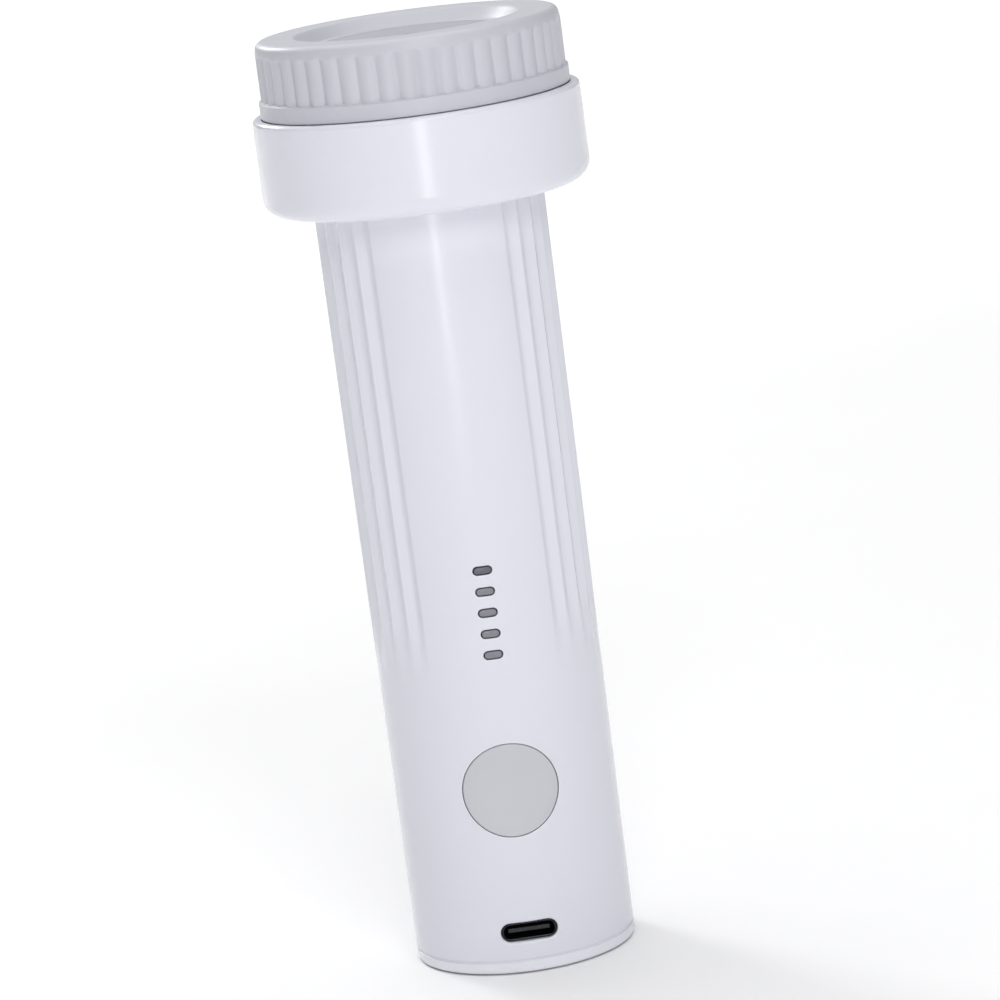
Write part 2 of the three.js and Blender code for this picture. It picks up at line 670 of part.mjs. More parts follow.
function batteryCell() {
  const top = CELL_BOTTOM + CELL_LENGTH;
  const edge = 0.6;
  const shoulder = top - 0.8;
  const terminal = 3.2;
  const can = revolve([
    [0, CELL_BOTTOM],
    [CELL_RADIUS - edge, CELL_BOTTOM],
    [CELL_RADIUS, CELL_BOTTOM + edge],
    [CELL_RADIUS, shoulder - edge],
    [CELL_RADIUS - edge, shoulder],
    [terminal, shoulder],
    [terminal, top],
    [0, top],
  ]);
  return can.translate([0, CELL_Y, 0]);
}

const TAB_HEIGHTS = { top: [75.3, 67.5], bottom: [9.1, 14] };   // at the cell, and where it ends

/** A nickel strip that runs from one end of the cell to the back of the board. */
function cellTab([z, foldedTo]) {
  const thick = 0.3;
  const width = 4;
  const end = CELL_Y + 2;
  const board = BOARD_FACE + BOARD_THICKNESS + GAP;
  const towards = Math.sign(foldedTo - z);
  const near = z + thick / 2;
  const far = z - thick / 2;
  const inner = towards > 0 ? near : far;
  const outer = towards > 0 ? far : near;
  return strip(width, [
    [end, inner], [end, outer], [board, outer], [board, foldedTo], [board + thick, foldedTo],
    [board + thick, inner],
  ]);
}

const LEAD_RADIUS = 0.65;
const LEAD_X = 5.5;

function motorLead() {
  const back = BOARD_FACE + BOARD_THICKNESS + GAP;
  const route = new THREE.CatmullRomCurve3([
    new THREE.Vector3(0, -6.4, MOTOR_BOTTOM - GAP),
    new THREE.Vector3(0, -6.4, 74),
    new THREE.Vector3(0, -6.5, 69.5),
    new THREE.Vector3(0, -7.2, 67.2),
    new THREE.Vector3(0, back, 66.6),
  ]);
  const section = new THREE.Shape();
  section.absarc(0, 0, LEAD_RADIUS, 0, 2 * Math.PI);
  const options = { extrudePath: route, steps: 8, bevelEnabled: false, curveSegments: 4 };
  return solid(new THREE.ExtrudeGeometry(section, options));
}

function motorLeads() {
  return [['motor_lead_positive', LEAD_X], ['motor_lead_negative', -LEAD_X]].map(([name, x]) => {
    const mesh = piece(name, motorLead(), x > 0 ? COPPER : RUBBER);
    mesh.position.x = x;
    return mesh;
  });
}

// ---------------------------------------------------------------- motor
const MOTOR_SPLIT = 80.9;             // the can starts here, a gap above the end bell
const SHAFT_RADIUS = 1;
const SHAFT_HOLE = 1.3;               // the rotor's other pieces clear the shaft with this radius

function motorCan() {
  const wall = 0.9;
  const nose = 3.3;
  return revolve([
    [nose, MOTOR_TOP],
    [nose, MOTOR_TOP - wall],
    [MOTOR_RADIUS - wall, MOTOR_TOP - wall],
    [MOTOR_RADIUS - wall, MOTOR_SPLIT],
    [MOTOR_RADIUS, MOTOR_SPLIT],
    [MOTOR_RADIUS, MOTOR_TOP],
  ]);
}

function motorEndBell() {
  const [bore, step, top] = [1.4, 10.9, 82.4];
  return revolve([
    [bore, MOTOR_BOTTOM],
    [MOTOR_RADIUS, MOTOR_BOTTOM],
    [MOTOR_RADIUS, MOTOR_SPLIT - GAP],
    [step, MOTOR_SPLIT - GAP],
    [step, top],
    [bore, top],
  ]);
}

/** One of the two curved magnets inside the can. */
function motorMagnet(side) {
  const [inside, outside] = [8.9, 11];
  const [bottom, top] = [86, 102];
  const [near, far] = [6, 24];
  const ring = revolve([[inside, bottom], [outside, bottom], [outside, top], [inside, top]]);
  const range = side > 0 ? [near, far] : [-far, -near];
  return ring.intersect(block([range[0], -TALL, 0], [range[1], TALL, TALL]));
}

function motorDamper() {
  const [inside, outside] = [MOTOR_RADIUS + GAP, CHASSIS_INSIDE - GAP];
  const [bottom, top] = [90, 99];
  return revolve([[inside, bottom], [outside, bottom], [outside, top], [inside, top]]);
}

function motorShaft() {
  const [bottom, top] = [79.2, 112.9];
  return drum(SHAFT_RADIUS, bottom, top, { segments: 12 });
}

/** Three-slot armature with its windings and commutator. */
function motorArmature() {
  const [coreRadius, coreBottom, coreTop] = [8.3, 87.5, 100.5];
  const [commutatorRadius, commutatorBottom] = [3.2, 83.4];
  const [slotRadius, slotCircle] = [2.2, 8.8];
  const core = drum(coreRadius, coreBottom, coreTop);
  const commutator = drum(commutatorRadius, commutatorBottom, coreBottom + 0.5);
  const slots = [0, 120, 240].map((turn) => {
    const [x, y] = polar(slotCircle, turn);
    return drum(slotRadius, 0, TALL, { x, y, segments: 12 });
  });
  return cut(core.add(commutator), drum(SHAFT_HOLE, 0, TALL, { segments: 12 }), ...slots);
}

// ---------------------------------------------------------------- diaphragm pump
const PUMP_SCREW_TURNS = [45, 135, 225, 315];
const PUMP_SCREW_HOLE = 0.95;
const PUMP_SCREW = { headRadius: 1.4, headHeight: 1, shankRadius: 0.7, length: 14.6 };
const CRANKCASE_TOP = 119;
const DIAPHRAGM = [CRANKCASE_TOP + GAP, 120.1];
const VALVE_PLATE = [DIAPHRAGM[1] + GAP, 121.9];
const HEAD_BOTTOM = VALVE_PLATE[1] + GAP;
const HEAD_TOP = 127;
const CHAMBER_TURNS = [0, 120, 240];
const CHAMBER_CIRCLE = 5.4;

/** Upright cylinders where the pump's four screws run. */
function pumpScrewDrums(radius, bottom, top) {
  return PUMP_SCREW_TURNS.map((turn) => {
    const [x, y] = polar(PUMP_SCREW_CIRCLE, turn);
    return drum(radius, bottom, top, { x, y, segments: 8 });
  });
}

/** Hub on the motor shaft whose off-centre recess swings the drive plate's stem. */
function crankHub() {
  const [radius, bottom, top] = [5, 112.2, 115.1];
  const [recess, recessBottom] = [3, 113.6];
  const shaftHoleTop = 113.2;
  const hub = drum(radius, bottom, top, { x: CRANK_OFFSET });
  const shaftHole = drum(SHAFT_HOLE, bottom - 1, shaftHoleTop, { segments: 12 });
  return cut(hub, shaftHole, drum(recess, recessBottom, top + 1, { x: CRANK_OFFSET }));
}

function drivePlate() {
  const [radius, bottom, top] = [8.7, 116, 117.3];
  const [stemRadius, stemBottom] = [1.4, 113.9];
  const plate = drum(radius, bottom, top, { segments: 24 });
  const stem = drum(stemRadius, stemBottom, bottom + 0.2, { segments: 12 });
  return plate.add(stem);
}

function pumpCrankcase() {
  const [bore, inside, floor] = [3.2, 12, PUMP_BOTTOM + 1.5];
  const lugRadius = 1.9;
  const wall = revolve([
    [bore, PUMP_BOTTOM], [PUMP_RADIUS, PUMP_BOTTOM], [PUMP_RADIUS, CRANKCASE_TOP], [inside, CRANKCASE_TOP],
    [inside, floor], [bore, floor],
  ], 28);
  const lugs = pumpScrewDrums(lugRadius, PUMP_BOTTOM + GAP, CRANKCASE_TOP);
  return cut(join(wall, ...lugs), ...pumpScrewDrums(PUMP_SCREW_HOLE, floor + 0.2, TALL));
}

function pumpDiaphragm() {
  const [bottom, top] = DIAPHRAGM;
  const wall = 0.7;
  const chamber = 3;
  const sheet = drum(PUMP_RADIUS, bottom, top, { segments: 28 });
  const cups = CHAMBER_TURNS.map((turn) => {
    const [x, y] = polar(CHAMBER_CIRCLE, turn);
    return drum(chamber, bottom - 1, bottom + 0.2, { x, y, segments: 14 });
  });
  const hollows = CHAMBER_TURNS.map((turn) => {
    const [x, y] = polar(CHAMBER_CIRCLE, turn);
    return drum(chamber - wall, bottom - 0.5, TALL, { x, y, segments: 14 });
  });
  return cut(join(sheet, ...cups), ...hollows, ...pumpScrewDrums(PUMP_SCREW_HOLE, 0, TALL));
}

function pumpValvePlate() {
  const portRadius = 0.7;
  const portOffset = 1.1;
  const plate = drum(PUMP_RADIUS, ...VALVE_PLATE, { segments: 28 });
  const ports = CHAMBER_TURNS.flatMap((turn) => [-portOffset, portOffset].map((offset) => {
    const [x, y] = polar(CHAMBER_CIRCLE + offset, turn);
    return drum(portRadius, 0, TALL, { x, y, segments: 8 });
  }));
  return cut(plate, ...ports, ...pumpScrewDrums(PUMP_SCREW_HOLE, 0, TALL));
}

/** Pump head with the suction nipple in the middle and the outlet beside it. */
function pumpHead() {
  const [bore, chamber, chamberTop] = [0.9, 9, 125.4];
  const [chamfer, nippleTop] = [0.7, 129.8];
  const [outletRadius, outletBore, outletTop, outletY] = [1.6, 0.8, 129.6, 7];
  const dome = revolve([
    [bore, chamberTop], [chamber, chamberTop], [chamber, HEAD_BOTTOM], [PUMP_RADIUS, HEAD_BOTTOM],
    [PUMP_RADIUS, HEAD_TOP - chamfer], [PUMP_RADIUS - chamfer, HEAD_TOP], [NIPPLE_RADIUS, HEAD_TOP],
    [NIPPLE_RADIUS, nippleTop], [bore, nippleTop],
  ], 28);
  const outlet = drum(outletRadius, HEAD_TOP - 0.5, outletTop, { y: outletY, segments: 12 });
  const outletHole = drum(outletBore, chamberTop - 0.4, TALL, { y: outletY, segments: 8 });
  return cut(dome.add(outlet), outletHole, ...pumpScrewDrums(PUMP_SCREW_HOLE, 0, HEAD_TOP + 3));
}

function pumpHose() {
  const [inside, outside] = [NIPPLE_RADIUS + GAP, 3.5];
  const [bottom, top] = [HEAD_TOP + GAP, DECK_BOTTOM - GAP];
  return revolve([[inside, bottom], [outside, bottom], [outside, top], [inside, top]], 16);
}

function pumpScrews() {
  const headTop = HEAD_TOP + GAP + PUMP_SCREW.headHeight;
  return PUMP_SCREW_TURNS.map((turn, i) => {
    const mesh = piece(`pump_screw_${i + 1}`, screw(PUMP_SCREW), STEEL);
    mesh.rotation.x = Math.PI;
    mesh.position.set(...polar(PUMP_SCREW_CIRCLE, turn), headTop);
    return mesh;
  });
}

// ---------------------------------------------------------------- the whole object
const casing = assembly(
  piece('body_tube', bodyTube(), WHITE),
  piece('base_cap', baseCap(), WHITE),
  piece('head_collar', headCollar(), WHITE),
  piece('head_deck', headDeck(), NATURAL),
  piece('deck_gasket', deckGasket(), SILICONE),
  piece('port_o_ring', portORing(), RUBBER),
  baseScrews(),
  deckScrews(),
);

const controls = assembly(
  lightWindows(),
  statusLeds(),
  piece('control_board', controlBoard(), BOARD_GREEN),
  piece('switch_body', switchBody(), BLACK),
  piece('usb_shell', usbShell(), STEEL),
  piece('usb_tongue', usbTongue(), BLACK),
);

const buttonTrain = assembly(
  piece('power_button', powerButton(), BUTTON_GREY),
  piece('switch_plunger', switchPlunger(), BLACK),
);

const powerPack = assembly(
  piece('chassis', chassis(), NATURAL),
  piece('battery_cell', batteryCell(), CELL_BLUE),
  piece('battery_tab_top', cellTab(TAB_HEIGHTS.top), STEEL),
  piece('battery_tab_bottom', cellTab(TAB_HEIGHTS.bottom), STEEL),
  motorLeads(),
);

const motor = assembly(
  piece('motor_can', motorCan(), STEEL),
  piece('motor_end_bell', motorEndBell(), BLACK),
  piece('motor_magnet_1', motorMagnet(1), MAGNET),
  piece('motor_magnet_2', motorMagnet(-1), MAGNET),
  piece('motor_damper', motorDamper(), RUBBER),
);

const rotor = assembly(
  piece('motor_shaft', motorShaft(), STEEL),
  piece('motor_armature', motorArmature(), COPPER),
  piece('crank_hub', crankHub(), BLACK),
);

const pump = assembly(
  piece('pump_crankcase', pumpCrankcase(), BLACK),
  piece('pump_diaphragm', pumpDiaphragm(), RUBBER),
  piece('pump_valve_plate', pumpValvePlate(), NATURAL),
  piece('pump_head', pumpHead(), BLACK),
  piece('pump_hose', pumpHose(), SILICONE),
  pumpScrews(),
  piece('drive_plate', drivePlate(), NATURAL),
);

const suctionHead = assembly(
  piece('filter_cup', filterCup(), GREY),
  piece('filter_foam', filterFoam(), FOAM),
  piece('inlet_plate', inletPlate(), GREY),
  piece('grip_ring', gripRing(), GREY),
  piece('ring_clip', ringClip(), GREY),
);

const group = new THREE.Group();
group.add(casing, controls, buttonTrain, powerPack, motor, rotor, pump, suctionHead);

export default group;
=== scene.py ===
import json
import math

import bmesh
import bpy
from mathutils import Matrix, Vector


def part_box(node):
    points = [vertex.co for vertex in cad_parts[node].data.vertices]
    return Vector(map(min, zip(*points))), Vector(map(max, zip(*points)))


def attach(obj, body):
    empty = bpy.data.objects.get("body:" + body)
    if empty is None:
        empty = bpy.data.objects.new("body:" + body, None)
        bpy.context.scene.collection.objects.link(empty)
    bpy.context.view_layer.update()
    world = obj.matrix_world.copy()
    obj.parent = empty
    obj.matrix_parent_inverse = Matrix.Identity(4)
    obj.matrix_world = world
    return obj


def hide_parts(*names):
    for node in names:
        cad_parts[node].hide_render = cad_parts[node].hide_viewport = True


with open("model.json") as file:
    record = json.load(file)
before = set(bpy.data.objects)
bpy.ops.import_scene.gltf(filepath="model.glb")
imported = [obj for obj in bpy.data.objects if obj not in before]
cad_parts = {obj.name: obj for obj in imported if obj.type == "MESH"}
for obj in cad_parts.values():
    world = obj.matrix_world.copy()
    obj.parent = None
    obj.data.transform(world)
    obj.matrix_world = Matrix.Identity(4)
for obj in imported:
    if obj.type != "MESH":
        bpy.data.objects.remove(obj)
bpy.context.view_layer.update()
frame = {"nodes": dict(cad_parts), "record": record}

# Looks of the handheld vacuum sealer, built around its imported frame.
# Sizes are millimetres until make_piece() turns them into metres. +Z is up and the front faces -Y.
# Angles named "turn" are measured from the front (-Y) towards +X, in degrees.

MM = 0.001


# ---------------------------------------------------------------- sizes from the frame
def node_box(name):
    """Lowest and highest corner of a CAD node, in millimetres."""
    low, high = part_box(name)
    return low / MM, high / MM


def middle_height(name):
    """Height of the middle of a CAD node, in millimetres."""
    low, high = node_box(name)
    return (low.z + high.z) / 2


tube_low, tube_high = node_box("body_tube")
cap_high = node_box("base_cap")[1]
collar_low, collar_high = node_box("head_collar")
ring_low, ring_high = node_box("grip_ring")
shell_low, shell_high = node_box("usb_shell")

# The body: a slightly tapered tube with a plain panel in front and behind, and flutes on both sides.
TUBE_BOTTOM = tube_low.z
TUBE_TOP = tube_high.z
BASE_RADIUS = cap_high.x
BODY_TAPER = (tube_high.x - BASE_RADIUS) / TUBE_TOP
BODY_INSIDE = 15.9
PANEL_TURN = 38.5  # half of a plain panel
PANEL_SHOULDER = 1.25  # how far the outermost flute reaches into the panel
FLUTES = 9
FLUTE_TURN = (180 - 2 * PANEL_TURN) / FLUTES
FLUTE_DEPTH = 0.88
FLUTE_FADE = (45.5, 60.0)  # heights where the flutes begin and where they are full
FLUTE_SHAPE = 1.2  # above 1, the valleys are narrower than the ridges
FLUTE_SOFTNESS = 0.5  # how wide the valleys' round bottoms are

# The controls in the front panel.
BUTTON_HEIGHT = middle_height("power_button")
BUTTON_HOLE = 7.56
BUTTON_RADIUS = 7.45
BUTTON_DISH = 0.55
LIGHT_HEIGHTS = [middle_height(f"light_window_{i + 1}") for i in range(5)]
LIGHT_PITCH = (LIGHT_HEIGHTS[-1] - LIGHT_HEIGHTS[0]) / 4
LIGHT_SIZE = (2.7, 1.05)
LIGHT_CLEARANCE = 0.2
LIGHT_REAR = -12.6  # y of the lenses' rear faces
USB_HEIGHT = middle_height("usb_shell")
USB_OPENING = (8.95, 3.1)
USB_SHELL = (shell_high.x - shell_low.x - 0.24, shell_high.z - shell_low.z - 0.34)

# Half widths of the patches of the tube's grid that the lights, the socket and the button are let into.
LIGHT_PATCH = 2.2
USB_PATCH = 6.2
BUTTON_PATCH = 9.2

# The collar, and the ring that screws onto it.
COLLAR_BOTTOM = collar_low.z
COLLAR_TOP = collar_high.z
COLLAR_RADIUS = collar_high.x
COLLAR_INSIDE = 24.1
THREAD_BOTTOM = 127.4
THREAD_PITCH = 3.0
THREAD_TURNS = 1.25
THREAD_WIDTH = 1.4  # along the axis, at the root
SKIRT_BOTTOM = ring_low.z
SKIRT_RADIUS = 22.2
RING_TOP = ring_high.z
RING_RADIUS = ring_high.x
FLANGE_BOTTOM = COLLAR_TOP + 0.06
FLANGE_TOP = 139.5
RIB_COUNT = 48
RIB_RADIUS = 23.85
RIB_DEPTH = 0.58
RIB_SOFTNESS = 0.14
RIB_PHASE = 0.05  # share of a rib that the first valley is turned by
RIB_TOP = 146.75
MOUTH_RADIUS = 17.6
MOUTH_THROAT = 15.05
MOUTH_FLOOR = 146.92
LIP_RADIUS = 14.05


# ---------------------------------------------------------------- making pieces
CREASE = 32  # degrees


def mesh_from(name, shape):
    """A mesh from (points in mm, faces), with its faces pointing out."""
    points, faces = shape
    mesh = bpy.data.meshes.new(name)
    mesh.from_pydata([(x * MM, y * MM, z * MM) for x, y, z in points], [], faces)
    work = bmesh.new()
    work.from_mesh(mesh)
    bmesh.ops.recalc_face_normals(work, faces=work.faces)
    work.to_mesh(mesh)
    work.free()
    return mesh


def smooth(mesh, crease):
    """Smooth shading, apart from edges where the faces turn by more than crease degrees."""
    mesh.shade_smooth()
    mesh.set_sharp_from_angle(angle=math.radians(crease))


def linked(name, data):
    """A new object in the scene."""
    thing = bpy.data.objects.new(name, data)
    bpy.context.scene.collection.objects.link(thing)
    return thing


def make_piece(name, shape, body, slot, material, *stands_for, crease=CREASE):
    """A mesh object from (points in mm, faces), riding on a body and standing for CAD nodes."""
    mesh = mesh_from(name, shape)
    smooth(mesh, crease)
    mesh.materials.append(material)
    piece = linked(name, mesh)
    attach(piece, body)
    if stands_for:
        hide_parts(*stands_for)
    return piece


def cut_by(piece, *tools):
    """Cuts closed shapes out of a piece's mesh, one after another."""
    for number, shape in enumerate(tools):
        tool = linked(f"{piece.name}_cut_{number}", mesh_from(f"{piece.name}_cut_{number}", shape))
        boolean = piece.modifiers.new("cut", "BOOLEAN")
        boolean.object = tool
        boolean.operation = "DIFFERENCE"
        boolean.solver = "EXACT"
        bpy.context.view_layer.update()
        evaluated = piece.evaluated_get(bpy.context.evaluated_depsgraph_get())
        result = bpy.data.meshes.new_from_object(evaluated)
        piece.modifiers.clear()
        uncut, cutter = piece.data, tool.data
        piece.data = result
        bpy.data.objects.remove(tool)
        bpy.data.meshes.remove(uncut)
        bpy.data.meshes.remove(cutter)
    smooth(piece.data, CREASE)


def merged(*shapes):
    """Several shapes as one list of points and faces."""
    points, faces = [], []
    for more_points, more_faces in shapes:
        first = len(points)
        points.extend(more_points)
        faces.extend([first + i for i in face] for face in more_faces)
    return points, faces


def moved(shape, x=0.0, y=0.0, z=0.0):
    """The shape, shifted."""
    points, faces = shape
    return [(px + x, py + y, pz + z) for px, py, pz in points], faces


def even_turns(count, start=0.0):
    """Turns evenly spaced round a full circle."""
    return [start + 360.0 * i / count for i in range(count)]


def polar(radius, turn):
    """The x and y of a point at a turn from the front."""
    angle = math.radians(turn)
    return radius * math.sin(angle), -radius * math.cos(angle)


def turn_at(x, radius):
    """The turn of a point in front, at x on a circle."""
    return math.degrees(math.asin(x / radius))


def smoothstep(value, start, end):
    """0 up to start, 1 from end on, and a smooth rise between them."""
    t = min(1.0, max(0.0, (value - start) / (end - start)))
    return t * t * (3 - 2 * t)


def spaced(start, end, step):
    """Numbers from start up to, but without, end, about a step apart."""
    count = max(1, round((end - start) / step))
    return [start + (end - start) * i / count for i in range(count)]


def eased_shares(steps):
    """Shares of a span from 0 up to, but without, 1, closer together near both ends."""
    return [0.5 + 0.5 * math.sin(math.pi / 2 * (2 * k / steps - 1)) for k in range(steps)]


def valley(distance, lobe, softness, depth, shape):
    """Depth of a groove at a distance from its middle. Its bottom is soft and it ends at lobe."""
    if distance >= lobe:
        return 0.0
    softened = min(lobe, math.hypot(distance, softness * (1 - distance / lobe)))
    return depth * (1 - softened / lobe) ** shape


def band(low, high):
    """The faces between two closed rows of vertex numbers."""
    count = len(low)
    return [(low[j], low[(j + 1) % count], high[(j + 1) % count], high[j]) for j in range(count)]


def rounded(corners, closed=True, bend=9.0, support=0.12):
    """An outline from (r, z, fillet) corners, with an arc at each fillet and a point beside each arc."""
    outline = []
    count = len(corners)
    for i, (r, z, fillet) in enumerate(corners):
        here = Vector((r, z))
        if fillet <= 0 or (not closed and i in (0, count - 1)):
            outline.append(here)
            continue
        before = Vector(corners[i - 1][:2]) - here
        after = Vector(corners[(i + 1) % count][:2]) - here
        room_before, room_after = before.length, after.length
        before.normalize()
        after.normalize()
        opening = before.angle(after)
        reach = min(fillet / math.tan(opening / 2), 0.48 * room_before, 0.48 * room_after)
        radius = reach * math.tan(opening / 2)
        centre = here + (before + after).normalized() * (radius / math.sin(opening / 2))
        swing = math.pi - opening
        steps = max(3, math.ceil(math.degrees(swing) / bend))
        first = here + before * reach - centre
        last = here + after * reach - centre
        side = 1 if first.cross(last) > 0 else -1
        if room_before > reach + 4 * support:
            outline.append(here + before * (reach + support))
        for k in range(steps + 1):
            angle = side * swing * k / steps
            cos, sin = math.cos(angle), math.sin(angle)
            spoke = Vector((first.x * cos - first.y * sin, first.x * sin + first.y * cos))
            outline.append(centre + spoke)
        if room_after > reach + 4 * support:
            outline.append(here + after * (reach + support))
    return [(p.x, p.y) for p in outline]


def lathe(outline, turns, radius_at=None):
    """A closed outline of (r, z) turned about Z. Ends on the axis close with a fan."""
    points, rows, faces = [], [], []
    for r, z in outline:
        if abs(r) < 1e-6:
            rows.append([len(points)])
            points.append((0.0, 0.0, z))
            continue
        row = []
        for turn in turns:
            radius = radius_at(r, z, turn) if radius_at else r
            row.append(len(points))
            points.append((*polar(radius, turn), z))
        rows.append(row)
    count = len(turns)
    for i, row in enumerate(rows):
        other = rows[(i + 1) % len(rows)]
        if len(row) == 1 and len(other) == 1:
            continue
        for j in range(count):
            k = (j + 1) % count
            if len(row) == 1:
                faces.append((row[0], other[k], other[j]))
            elif len(other) == 1:
                faces.append((row[j], row[k], other[0]))
            else:
                faces.append((row[j], row[k], other[k], other[j]))
    return points, faces


def stadium(width, height):
    """Outline of a slot with round ends, as a function of the share of its length.

    Outlines start at the middle of the lower side, run towards +u and give (u, v, normal u, normal v)."""
    radius = height / 2
    half = (width - height) / 2
    arc = math.pi * radius
    length = 4 * half + 2 * arc

    def on_end(middle, angle):
        cos, sin = math.cos(angle), math.sin(angle)
        return middle + radius * cos, radius * sin, cos, sin

    def at(share):
        s = (share % 1.0) * length
        if s <= half:
            return s, -radius, 0.0, -1.0
        s -= half
        if s <= arc:
            return on_end(half, -math.pi / 2 + s / radius)
        s -= arc
        if s <= 2 * half:
            return half - s, radius, 0.0, 1.0
        s -= 2 * half
        if s <= arc:
            return on_end(-half, math.pi / 2 + s / radius)
        s -= arc
        return -half + s, -radius, 0.0, -1.0

    return at


def circle(radius):
    """Outline of a round hole, as stadium gives it."""
    def at(share):
        angle = 2 * math.pi * share - math.pi / 2
        cos, sin = math.cos(angle), math.sin(angle)
        return radius * cos, radius * sin, cos, sin

    return at


def rounded_box(width, height, corner):
    """Outline of a rectangle with round corners, as stadium gives it."""
    flat_u, flat_v = width / 2 - corner, height / 2 - corner
    arc = math.pi / 2 * corner
    parts = [flat_u, arc, 2 * flat_v, arc, 2 * flat_u, arc, 2 * flat_v, arc, flat_u]
    corners = [(flat_u, -flat_v, -90), (flat_u, flat_v, 0), (-flat_u, flat_v, 90), (-flat_u, -flat_v, 180)]
    sides = [(0, -height / 2, 1, 0), (width / 2, -flat_v, 0, 1), (flat_u, height / 2, -1, 0),
             (-width / 2, flat_v, 0, -1), (-flat_u, -height / 2, 1, 0)]

    def at(share):
        s = share * sum(parts)
        for index, length in enumerate(parts):
            if s <= length or index == len(parts) - 1:
                break
            s -= length
        if index % 2:
            u, v, start = corners[index // 2]
            angle = math.radians(start) + s / corner
            cos, sin = math.cos(angle), math.sin(angle)
            return u + corner * cos, v + corner * sin, cos, sin
        u, v, along_u, along_v = sides[index // 2]
        return u + along_u * s, v + along_v * s, along_v, -along_u

    return at


def along_y(outline, height, steps, capped, count=96):
    """An outline carried along Y through (shrink, y) steps, capped at both ends or closed on itself."""
    rim = [outline(k / count) for k in range(count)]
    points, rows, faces = [], [], []
    for shrink, y in steps:
        rows.append(list(range(len(points), len(points) + count)))
        points.extend((u - nu * shrink, y, height + v - nv * shrink) for u, v, nu, nv in rim)
    for low, high in zip(rows, rows[1:] if capped else rows[1:] + rows[:1]):
        faces += band(low, high)
    if capped:
        faces += [tuple(rows[0]), tuple(rows[-1])]
    return points, faces


# ---------------------------------------------------------------- materials
def node_tree(name):
    """A new material, its node tree and its shader."""
    material = bpy.data.materials.new(name)
    material.use_nodes = True
    tree = material.node_tree
    return material, tree, tree.nodes["Principled BSDF"]


def new_node(tree, kind, **settings):
    """A new node with some of its properties set."""
    node = tree.nodes.new(kind)
    for key, value in settings.items():
        setattr(node, key, value)
    return node


def noise(tree, coordinates, size, detail=3.0, rough=0.55):
    """Noise whose features are about size mm across."""
    node = new_node(tree, "ShaderNodeTexNoise")
    node.inputs["Scale"].default_value = 1.0 / (size * MM)
    node.inputs["Detail"].default_value = detail
    node.inputs["Roughness"].default_value = rough
    tree.links.new(coordinates, node.inputs["Vector"])
    return node.outputs["Fac"]


def remap(tree, value, low, high, to_low, to_high):
    """A value stretched from one range to another, and held inside it."""
    node = new_node(tree, "ShaderNodeMapRange")
    for socket, number in zip(("From Min", "From Max", "To Min", "To Max"), (low, high, to_low, to_high)):
        node.inputs[socket].default_value = number
    tree.links.new(value, node.inputs["Value"])
    return node.outputs["Result"]


def mixed(tree, factor, first, second):
    """A colour between two, where first and second are colours or outputs."""
    node = new_node(tree, "ShaderNodeMix", data_type="RGBA")
    for index, value in ((0, factor), (6, first), (7, second)):
        if isinstance(value, bpy.types.NodeSocket):
            tree.links.new(value, node.inputs[index])
        else:
            node.inputs[index].default_value = value
    return node.outputs[2]


def scaled(colour, amount):
    """The colour made lighter or darker."""
    return (*(min(1.0, part * amount) for part in colour[:3]), 1.0)


def plastic(name, colour, roughness, grain=0.2, grain_height=0.004, mottle=0.03, wear_and_shade=0.06, spread=0.05,
            specular=0.5, subsurface=0.0, metallic=0.0, coat=0.0, specks=0.0):
    """Moulded plastic, rubber or foam: slight colour drift, a fine grain, uneven gloss, rubbed edges and
    painted shade in hollows.

    grain is the size of the surface grain and grain_height its height, in mm. mottle is the colour drift,
    wear how far edges are rubbed and how dark the painted shade in hollows and creases is, and spread the
    unevenness of the gloss."""
    material, tree, shader = node_tree(name)
    colour = (*colour, 1.0)
    place = new_node(tree, "ShaderNodeTexCoord").outputs["Object"]
    drift = noise(tree, place, 14.0, 4.0)
    fine = noise(tree, place, grain, 3.0, 0.6)
    blotch = noise(tree, place, 3.0, 5.0, 0.65)
    darker, lighter = scaled(colour, 1 - mottle), scaled(colour, 1 + mottle)
    tone = mixed(tree, remap(tree, drift, 0.3, 0.7, 0.0, 1.0), darker, lighter)
    tone = mixed(tree, remap(tree, fine, 0.35, 0.65, 0.0, 1.0), tone, scaled(colour, 1 - mottle * 0.8))
    edge = new_node(tree, "ShaderNodeNewGeometry").outputs["Pointiness"]
    rubbed = remap(tree, edge, 0.52, 0.62, 0.0, wear_and_shade)
    tone = mixed(tree, rubbed, tone, scaled(colour, 1.12))
    # Hollows and creases are made darker: painted shade.
    painted_hollow_shade = remap(tree, edge, 0.48, 0.38, 0.0, wear_and_shade)
    tone = mixed(tree, painted_hollow_shade, tone, scaled(colour, 0.72))
    if specks:
        grit = remap(tree, noise(tree, place, 0.6, 2.0), 0.66, 0.72, 0.0, specks)
        tone = mixed(tree, grit, tone, scaled(colour, 0.8))
    tree.links.new(tone, shader.inputs["Base Color"])
    gloss = remap(tree, blotch, 0.3, 0.7, roughness - spread, roughness + spread)
    tree.links.new(gloss, shader.inputs["Roughness"])
    bump = new_node(tree, "ShaderNodeBump")
    bump.inputs["Strength"].default_value = 1.0
    bump.inputs["Distance"].default_value = grain_height * MM
    tree.links.new(fine, bump.inputs["Height"])
    tree.links.new(bump.outputs["Normal"], shader.inputs["Normal"])
    shader.inputs["Metallic"].default_value = metallic
    shader.inputs["Specular IOR Level"].default_value = specular
    shader.inputs["Coat Weight"].default_value = coat
    if subsurface:
        shader.inputs["Subsurface Weight"].default_value = subsurface
        shader.inputs["Subsurface Radius"].default_value = (1.0, 0.9, 0.8)
        shader.inputs["Subsurface Scale"].default_value = 0.6 * MM
    return material
